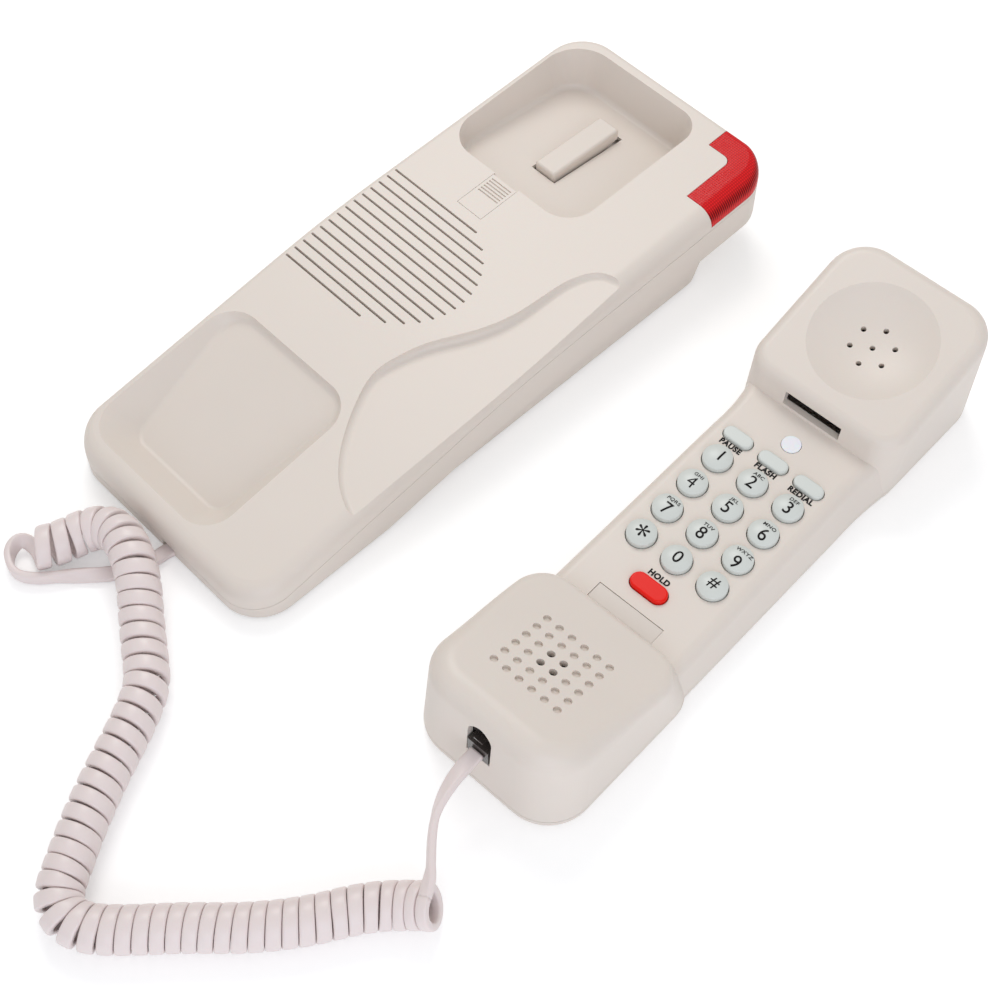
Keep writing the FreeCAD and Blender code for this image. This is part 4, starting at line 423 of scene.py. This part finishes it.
def band_mesh(name, path, normals, widths, thickness):
    """A flat band with rounded edges, carried along the path.

    Its section is a squared ellipse: x is half the width times cos a, and y half the thickness times sin a, each
    raised to the same power with its sign kept.
    """
    way = directions(path)
    face = unit(normals - way * np.sum(normals * way, axis=1, keepdims=True))
    across = np.cross(way, face)
    angle = np.linspace(0.0, math.tau, RING_POINTS, endpoint=False)
    wide = np.sign(np.cos(angle)) * np.abs(np.cos(angle)) ** RING_POWER
    tall = np.sign(np.sin(angle)) * np.abs(np.sin(angle)) ** RING_POWER
    widths = np.broadcast_to(widths, len(path))
    ring = (path[:, None, :] + across[:, None, :] * (wide[None, :, None] * widths[:, None, None] / 2.0)
            + face[:, None, :] * (tall[None, :, None] * thickness / 2.0))
    rows, columns = len(path), len(angle)
    index = np.arange(rows * columns).reshape(rows, columns)
    near, far = index[:-1], index[1:]
    quads = np.stack([near, np.roll(near, -1, axis=1), np.roll(far, -1, axis=1), far], axis=-1).reshape(-1, 4)
    faces = [tuple(quad) for quad in quads.tolist()]
    faces.append(tuple(index[0][::-1].tolist()))
    faces.append(tuple(index[-1].tolist()))
    mesh = bpy.data.meshes.new(name)
    mesh.from_pydata(ring.reshape(-1, 3).tolist(), [], faces)
    mesh.update()
    shaped = bmesh.new()
    shaped.from_mesh(mesh)
    bmesh.ops.recalc_face_normals(shaped, faces=shaped.faces)
    shaped.to_mesh(mesh)
    shaped.free()
    mesh.shade_smooth()
    piece = bpy.data.objects.new(name, mesh)
    bpy.context.scene.collection.objects.link(piece)
    return piece


# Legends


def lettering(text, height, weight, spacing):
    """A flat mesh of the text about its own middle, cut finely enough to follow a domed key, and its points."""
    curve = bpy.data.curves.new("lettering", "FONT")
    curve.body = text
    curve.size = height / CAPITAL_SHARE
    curve.offset = weight
    curve.space_character = spacing
    curve.resolution_u = 5
    holder = bpy.data.objects.new("lettering", curve)
    bpy.context.scene.collection.objects.link(holder)
    bpy.context.view_layer.update()
    mesh = bpy.data.meshes.new_from_object(holder)
    bpy.data.objects.remove(holder)
    bpy.data.curves.remove(curve)
    shaped = bmesh.new()
    shaped.from_mesh(mesh)
    bmesh.ops.remove_doubles(shaped, verts=shaped.verts, dist=0.001 * MM)
    bmesh.ops.triangulate(shaped, faces=shaped.faces)
    for _ in range(3):
        long_edges = [edge for edge in shaped.edges if edge.calc_length() > LONGEST_EDGE]
        bmesh.ops.subdivide_edges(shaped, edges=long_edges, cuts=1)
        bmesh.ops.triangulate(shaped, faces=shaped.faces)
    shaped.to_mesh(mesh)
    shaped.free()
    points = np.zeros(len(mesh.vertices) * 3)
    mesh.vertices.foreach_get("co", points)
    points = points.reshape(-1, 3)[:, :2]
    return mesh, points - (points.min(axis=0) + points.max(axis=0)) / 2.0


def keypad_axes():
    """Directions along the keypad's rows, along its columns and out of it."""
    turn, tilt = HANDSET_YAW, KEYPAD_TILT
    along = np.array((math.cos(turn), math.sin(turn), 0.0))
    up = np.array((-math.sin(turn) * math.cos(tilt), math.cos(turn) * math.cos(tilt), math.sin(tilt)))
    return along, up, np.cross(along, up)


def key_middle(node):
    """Where the key's axis passes through the face plate, and how high its top stands over it."""
    low, high = (np.array(corner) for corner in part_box(node))
    _, _, out = keypad_axes()
    plate = np.array(HANDSET_PLACE + (KEYPAD_HEIGHT,))
    middle = (low + high) / 2.0
    rise = np.dot(middle - plate, out)
    top = (high[2] - middle[2]) / out[2] + rise
    return middle - out * rise, top


def printed(name, text, height, weight, spacing, origin, offset, level, dome_radius, material, body):
    """Text laid on the face plate, or wrapped on a key's dome, which falls by r - sqrt(r^2 - x^2 - y^2)."""
    mesh, points = lettering(text, height, weight, spacing)
    x, y = points[:, 0] + offset[0], points[:, 1] + offset[1]
    fall = dome_radius - np.sqrt(dome_radius ** 2 - x ** 2 - y ** 2) if dome_radius else np.zeros(len(x))
    along, up, out = keypad_axes()
    placed = origin + np.outer(x, along) + np.outer(y, up) + np.outer(level + INK_LIFT - fall, out)
    mesh.vertices.foreach_set("co", placed.ravel())
    mesh.update()
    mesh.materials.clear()
    mesh.materials.append(material)
    mesh.name = name
    piece = bpy.data.objects.new(name, mesh)
    bpy.context.scene.collection.objects.link(piece)
    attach(piece, body)
    return piece


# Properties


class TelephoneFinishes(bpy.types.PropertyGroup):
    """Colours of the mouldings, as sRGB hex values."""

    housing: bpy.props.StringProperty(name="Housing", description="Ivory ABS of the covers", default="#E2D8CF")
    keys: bpy.props.StringProperty(name="Keys", description="Grey-white ABS of the dial keys", default="#D6DAD6")
    hold_key: bpy.props.StringProperty(name="Hold key", description="Red ABS of the hold key", default="#EE1A0E")
    lens: bpy.props.StringProperty(name="Message lamp", description="Red acrylic of the lamp's lens",
                                   default="#E62226")
    cord: bpy.props.StringProperty(name="Cord", description="Pinkish grey vinyl of the cord", default="#E8DBD9")
    plugs: bpy.props.StringProperty(name="Plugs", description="Smoked polycarbonate of the plugs", default="#4B4441")
    ink: bpy.props.StringProperty(name="Legends", description="Black ink of the digits and words", default="#161414")


class TelephoneCord(bpy.types.PropertyGroup):
    """Sizes of the curly cord's flat strand."""

    strand_width: bpy.props.FloatProperty(name="Strand width", description="Width of the flat strand", unit="LENGTH",
                                          default=4.7 * MM, min=2.0 * MM, max=6.0 * MM, precision=5)
    strand_thickness: bpy.props.FloatProperty(name="Strand thickness", description="Thickness of the flat strand",
                                              unit="LENGTH", default=2.4 * MM, min=1.0 * MM, max=3.0 * MM,
                                              precision=5)
    coil_radius: bpy.props.FloatProperty(name="Coil radius", description="Radius of the strand's middle in a turn",
                                         unit="LENGTH", default=5.55 * MM, min=4.0 * MM, max=7.0 * MM, precision=5)


class TelephoneLegends(bpy.types.PropertyGroup):
    """Sizes of the printed digits and words."""

    digit_height: bpy.props.FloatProperty(name="Digit height", description="Height of a dial key's digit",
                                          unit="LENGTH", default=4.1 * MM, min=2.0 * MM, max=6.0 * MM, precision=5)
    letter_height: bpy.props.FloatProperty(name="Letter height", description="Height of the letters over a digit",
                                           unit="LENGTH", default=1.3 * MM, min=0.8 * MM, max=2.0 * MM, precision=5)
    word_height: bpy.props.FloatProperty(name="Word height", description="Height of a function key's word",
                                         unit="LENGTH", default=1.8 * MM, min=1.0 * MM, max=3.0 * MM, precision=5)


class TelephoneLight(bpy.types.PropertyGroup):
    """Levels of the studio's light."""

    surround: bpy.props.FloatProperty(name="Surround", description="Strength of the white surround", default=0.62,
                                      min=0.0, max=2.0)
    key_lamp: bpy.props.FloatProperty(name="Key lamp", description="Power of the large soft lamp in watts",
                                      default=3.4, min=0.0, max=50.0)
    fill_lamp: bpy.props.FloatProperty(name="Fill lamp", description="Power of the cool lamp beside the camera",
                                       default=3.8, min=0.0, max=50.0)


# Operators


class TELEPHONE_OT_finishes(bpy.types.Operator):
    """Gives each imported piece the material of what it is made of"""

    bl_idname = "telephone.finishes"
    bl_label = "Finish the packed pieces"

    def execute(self, context):
        colours = context.scene.telephone_finishes
        made = {
            # The spark eroded mould leaves an even satin, and light goes a little way in at the edges.
            "ivory_plastic": moulded_plastic("ABS housing, spark eroded satin", colours.housing, 0.42,
                                             subsurface=0.04),
            # A finer mould than the housing's, so the domes carry a soft highlight.
            "key_plastic": moulded_plastic("ABS keys, satin", colours.keys, 0.36, grain_depth=0.002 * MM),
            # Nearly smooth, and so strongly coloured that its highlight hardly shows.
            "hold_key_plastic": moulded_plastic("ABS hold key, glossy", colours.hold_key, 0.3,
                                                grain_depth=0.001 * MM, gloss=0.2),
            "lamp_red": red_lens("Acrylic lens, prismatic", colours.lens),
            "led_red": clear_plastic("Epoxy of the lamp's diode", "#E8302A", 0.2, 0.3),
            # Opal acrylic spreads the light in it, so it is the whitest spot of the face.
            "status_white": moulded_plastic("Acrylic status lens, opal", "#F4F4FA", 0.12, grain_depth=0.0005 * MM,
                                            ior=1.49, subsurface=0.2),
            # Smoked, so the contacts behind it show only as a dark shape.
            "smoked_plug": clear_plastic("Polycarbonate plug, smoked", colours.plugs, 0.12, 0.35, ior=1.58),
            "jack_black": moulded_plastic("Nylon jack, black", "#2B2524", 0.5, ior=1.53),
            "cord_vinyl": moulded_plastic("Vinyl strand in the packed cord", colours.cord, 0.38),
            "board_laminate": moulded_plastic("Glass epoxy board, green", "#4C8059", 0.45),
            "steel": brushed_steel("Steel, zinc plated", "#C8C8CA"),
            # Rubber and paper scatter the light and show no highlight.
            "soft_rubber": moulded_plastic("Silicone rubber, moulded", "#6E6C69", 0.75, ior=1.43),
            "dark_plastic": moulded_plastic("ABS of the capsules, black", "#2A2A2A", 0.5),
            "card_paper": moulded_plastic("Card, uncoated paper", "#E2D8CF", 0.8, ior=1.4),
            # Clear, but flush over a card of the housing's colour, so it is given that colour and hardly seen through.
            "clear_window": clear_plastic("Polycarbonate window, clear over the card", "#E0D6CD", 0.3, 0.1, ior=1.58),
        }
        for part in FRAME["record"]["subparts"]:
            piece = NODES[part["node"]]
            piece.data.materials.clear()
            piece.data.materials.append(made[part["material_slot"]])
        return {"FINISHED"}


class TELEPHONE_OT_curly_cord(bpy.types.Operator):
    """Winds the flat strand into the curly cord, with its plain ends to the two plugs"""

    bl_idname = "telephone.curly_cord"
    bl_label = "Wind the curly cord"

    def execute(self, context):
        sizes = context.scene.telephone_cord
        # Extruded and then wound warm: smoother than a moulding, with a long soft highlight on each turn.
        vinyl = moulded_plastic("Vinyl cord, extruded", context.scene.telephone_finishes.cord, 0.36,
                                grain=0.5 * MM, grain_depth=0.003 * MM, mottle=0.015, subsurface=0.03)
        coil, outward = coil_path(sizes.coil_radius)
        widths = coil_widths(coil, sizes.strand_width)
        start_way, end_way = unit(coil[1:2] - coil[:1])[0], unit(coil[-1:] - coil[-2:-1])[0]

        leaving = coil[-1] + end_way * CRADLE_RUN + np.array((0.0, 0.0, CRADLE_RISE))
        lead = spline_line(np.array(list(CRADLE_LEAD) + [leaving, coil[-1]]))[::-1]
        lead = resampled(lead, np.linspace(0.0, distances(lead)[-1], CRADLE_LEAD_POINTS))
        normals = twisted_normals(lead, CRADLE_TWIST, outward[-1])
        path = np.vstack([coil, lead[1:]])
        faces = np.vstack([outward, normals[1:]])
        lead_widths = np.interp(distances(lead)[1:], (0.0, WIDENING), (widths[-1], sizes.strand_width))
        cord = band_mesh("curly_cord_strand", path, faces, np.concatenate([widths, lead_widths]),
                         sizes.strand_thickness)
        cord.data.materials.append(vinyl)
        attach(cord, "cradle")
        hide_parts("curly_cord", "cord_lead_base")

        line = spline_line(np.array(list(HANDSET_LEAD) + [coil[0] - start_way * HANDSET_RUN, coil[0]]))
        line = resampled(line, np.linspace(0.0, distances(line)[-1], HANDSET_LEAD_POINTS))
        normals = twisted_normals(line, HANDSET_TWIST, outward[0])
        lead_widths = np.interp(distances(line)[-1] - distances(line), (0.0, WIDENING),
                                (widths[0], sizes.strand_width))
        piece = band_mesh("handset_lead_strand", line, normals, lead_widths, sizes.strand_thickness)
        piece.data.materials.append(vinyl)
        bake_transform(piece)
        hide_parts("cord_lead_handset")
        return {"FINISHED"}


class TELEPHONE_OT_legends(bpy.types.Operator):
    """Prints the digits, the dial letters and the function words"""

    bl_idname = "telephone.legends"
    bl_label = "Print the legends"

    def execute(self, context):
        sizes = context.scene.telephone_legends
        ink = printed_ink("Pad printed ink, black", context.scene.telephone_finishes.ink)
        for node, digit, offset, letters in DIAL_LEGENDS:
            origin, top = key_middle(node)
            height = sizes.digit_height * SIGN_SCALE.get(digit, 1.0)
            weight = OTHER_WEIGHTS.get(digit, DIGIT_WEIGHT)
            place = (offset[0] * MM, offset[1] * MM)
            printed(node + "_digit", digit, height, weight, DIGIT_SPACING, origin, place, top, DOME_RADIUS, ink,
                    node)
            if letters:
                printed(node + "_letters", letters, sizes.letter_height, LETTER_WEIGHT, WORD_SPACING, origin,
                        LETTERS_PLACE, top, DOME_RADIUS, ink, node)
        for node, word, distance in WORD_LEGENDS:
            origin, top = key_middle(node)
            printed(node + "_word", word, sizes.word_height, WORD_WEIGHT, WORD_SPACING, origin,
                    (0.0, distance * MM), 0.0, None, ink, "handset")
        return {"FINISHED"}


class TELEPHONE_OT_stage(bpy.types.Operator):
    """Sets up the white floor, the soft studio light and the camera"""

    bl_idname = "telephone.stage"
    bl_label = "Set up the stage"

    def execute(self, context):
        scene = context.scene
        light = scene.telephone_light
        floor_mesh = bpy.data.meshes.new("studio_floor")
        corners = np.array([(-1, -1), (1, -1), (1, 1), (-1, 1)]) * FLOOR_REACH
        floor_mesh.from_pydata(np.column_stack([corners, np.full(4, FLOOR_LEVEL)]).tolist(), [], [(0, 1, 2, 3)])
        floor = bpy.data.objects.new("studio_floor", floor_mesh)
        scene.collection.objects.link(floor)
        material, tree, output, _ = new_material("Paper sweep, white")
        paths = add_node(tree, "ShaderNodeLightPath")
        seen = add_node(tree, "ShaderNodeMath", {0: paths.outputs["Is Camera Ray"],
                                                 1: paths.outputs["Is Glossy Ray"]}, operation="MAXIMUM")
        seen = add_node(tree, "ShaderNodeMath", {0: seen.outputs[0], 1: paths.outputs["Is Transmission Ray"]},
                        operation="MAXIMUM")
        glow = add_node(tree, "ShaderNodeMath", {0: seen.outputs[0], 1: FLOOR_GLOW}, operation="MULTIPLY")
        paper = add_node(tree, "ShaderNodeBsdfDiffuse", {"Color": (0.9, 0.9, 0.9, 1.0)})
        bright = add_node(tree, "ShaderNodeEmission", {"Strength": glow.outputs[0]})
        both = add_node(tree, "ShaderNodeAddShader", {0: paper.outputs[0], 1: bright.outputs[0]})
        tree.links.new(both.outputs[0], output.inputs["Surface"])
        floor_mesh.materials.append(material)

        world = bpy.data.worlds.new("studio")
        scene.world = world
        world.use_nodes = True
        tree = world.node_tree
        tree.nodes.clear()
        output = add_node(tree, "ShaderNodeOutputWorld")
        surround, white = [add_node(tree, "ShaderNodeBackground", {"Color": (1.0, 1.0, 1.0, 1.0), "Strength": level})
                           for level in (light.surround, 1.0)]
        paths = add_node(tree, "ShaderNodeLightPath")
        mixed = add_node(tree, "ShaderNodeMixShader", {0: paths.outputs["Is Camera Ray"], 1: surround.outputs[0],
                                                       2: white.outputs[0]})
        tree.links.new(mixed.outputs[0], output.inputs["Surface"])

        for name, power, (spot, size, tint) in (("key_lamp", light.key_lamp, KEY_LAMP),
                                                ("fill_lamp", light.fill_lamp, FILL_LAMP)):
            lamp = bpy.data.lights.new(name, "AREA")
            lamp.color = tint
            lamp.size = size
            lamp.energy = power
            holder = bpy.data.objects.new(name, lamp)
            holder.location = spot
            holder.rotation_euler = (Vector(LAMP_TARGET) - Vector(spot)).to_track_quat("-Z", "Y").to_euler()
            scene.collection.objects.link(holder)

        camera = bpy.data.cameras.new("camera")
        camera.lens = CAMERA_LENS
        camera.sensor_width = SENSOR_WIDTH
        camera.clip_start = NEAREST_SEEN
        holder = bpy.data.objects.new("camera", camera)
        right = Vector(CAMERA_RIGHT).normalized()
        back = right.cross(Vector(CAMERA_UP)).normalized()
        holder.matrix_world = Matrix((right, back.cross(right), back)).transposed().to_4x4()
        holder.location = CAMERA_PLACE
        scene.collection.objects.link(holder)
        scene.camera = holder
        scene.view_settings.view_transform = "Standard"
        return {"FINISHED"}


class TELEPHONE_PT_panel(bpy.types.Panel):
    """Lists the telephone's steps and sizes"""

    bl_label = "Telephone"
    bl_idname = "TELEPHONE_PT_panel"
    bl_space_type = "VIEW_3D"
    bl_region_type = "UI"
    bl_category = "Telephone"

    def draw(self, context):
        scene = context.scene
        for step in OPERATORS:
            self.layout.operator(step.bl_idname)
        for name, group in GROUPS:
            box = self.layout.box()
            for field in group.__annotations__:
                box.prop(getattr(scene, name), field)


GROUPS = (("telephone_finishes", TelephoneFinishes), ("telephone_cord", TelephoneCord),
          ("telephone_legends", TelephoneLegends), ("telephone_light", TelephoneLight))
OPERATORS = (TELEPHONE_OT_stage, TELEPHONE_OT_finishes, TELEPHONE_OT_curly_cord, TELEPHONE_OT_legends)


def register():
    for name, group in GROUPS:
        bpy.utils.register_class(group)
        setattr(bpy.types.Scene, name, bpy.props.PointerProperty(type=group))
    for item in OPERATORS + (TELEPHONE_PT_panel,):
        bpy.utils.register_class(item)


def unregister():
    for item in reversed(OPERATORS + (TELEPHONE_PT_panel,)):
        bpy.utils.unregister_class(item)
    for name, group in reversed(GROUPS):
        delattr(bpy.types.Scene, name)
        bpy.utils.unregister_class(group)


def main():
    register()
    bpy.ops.telephone.stage()
    bpy.ops.telephone.finishes()
    bpy.ops.telephone.curly_cord()
    bpy.ops.telephone.legends()
    bpy.context.view_layer.update()


if __name__ == "__main__":
    main()
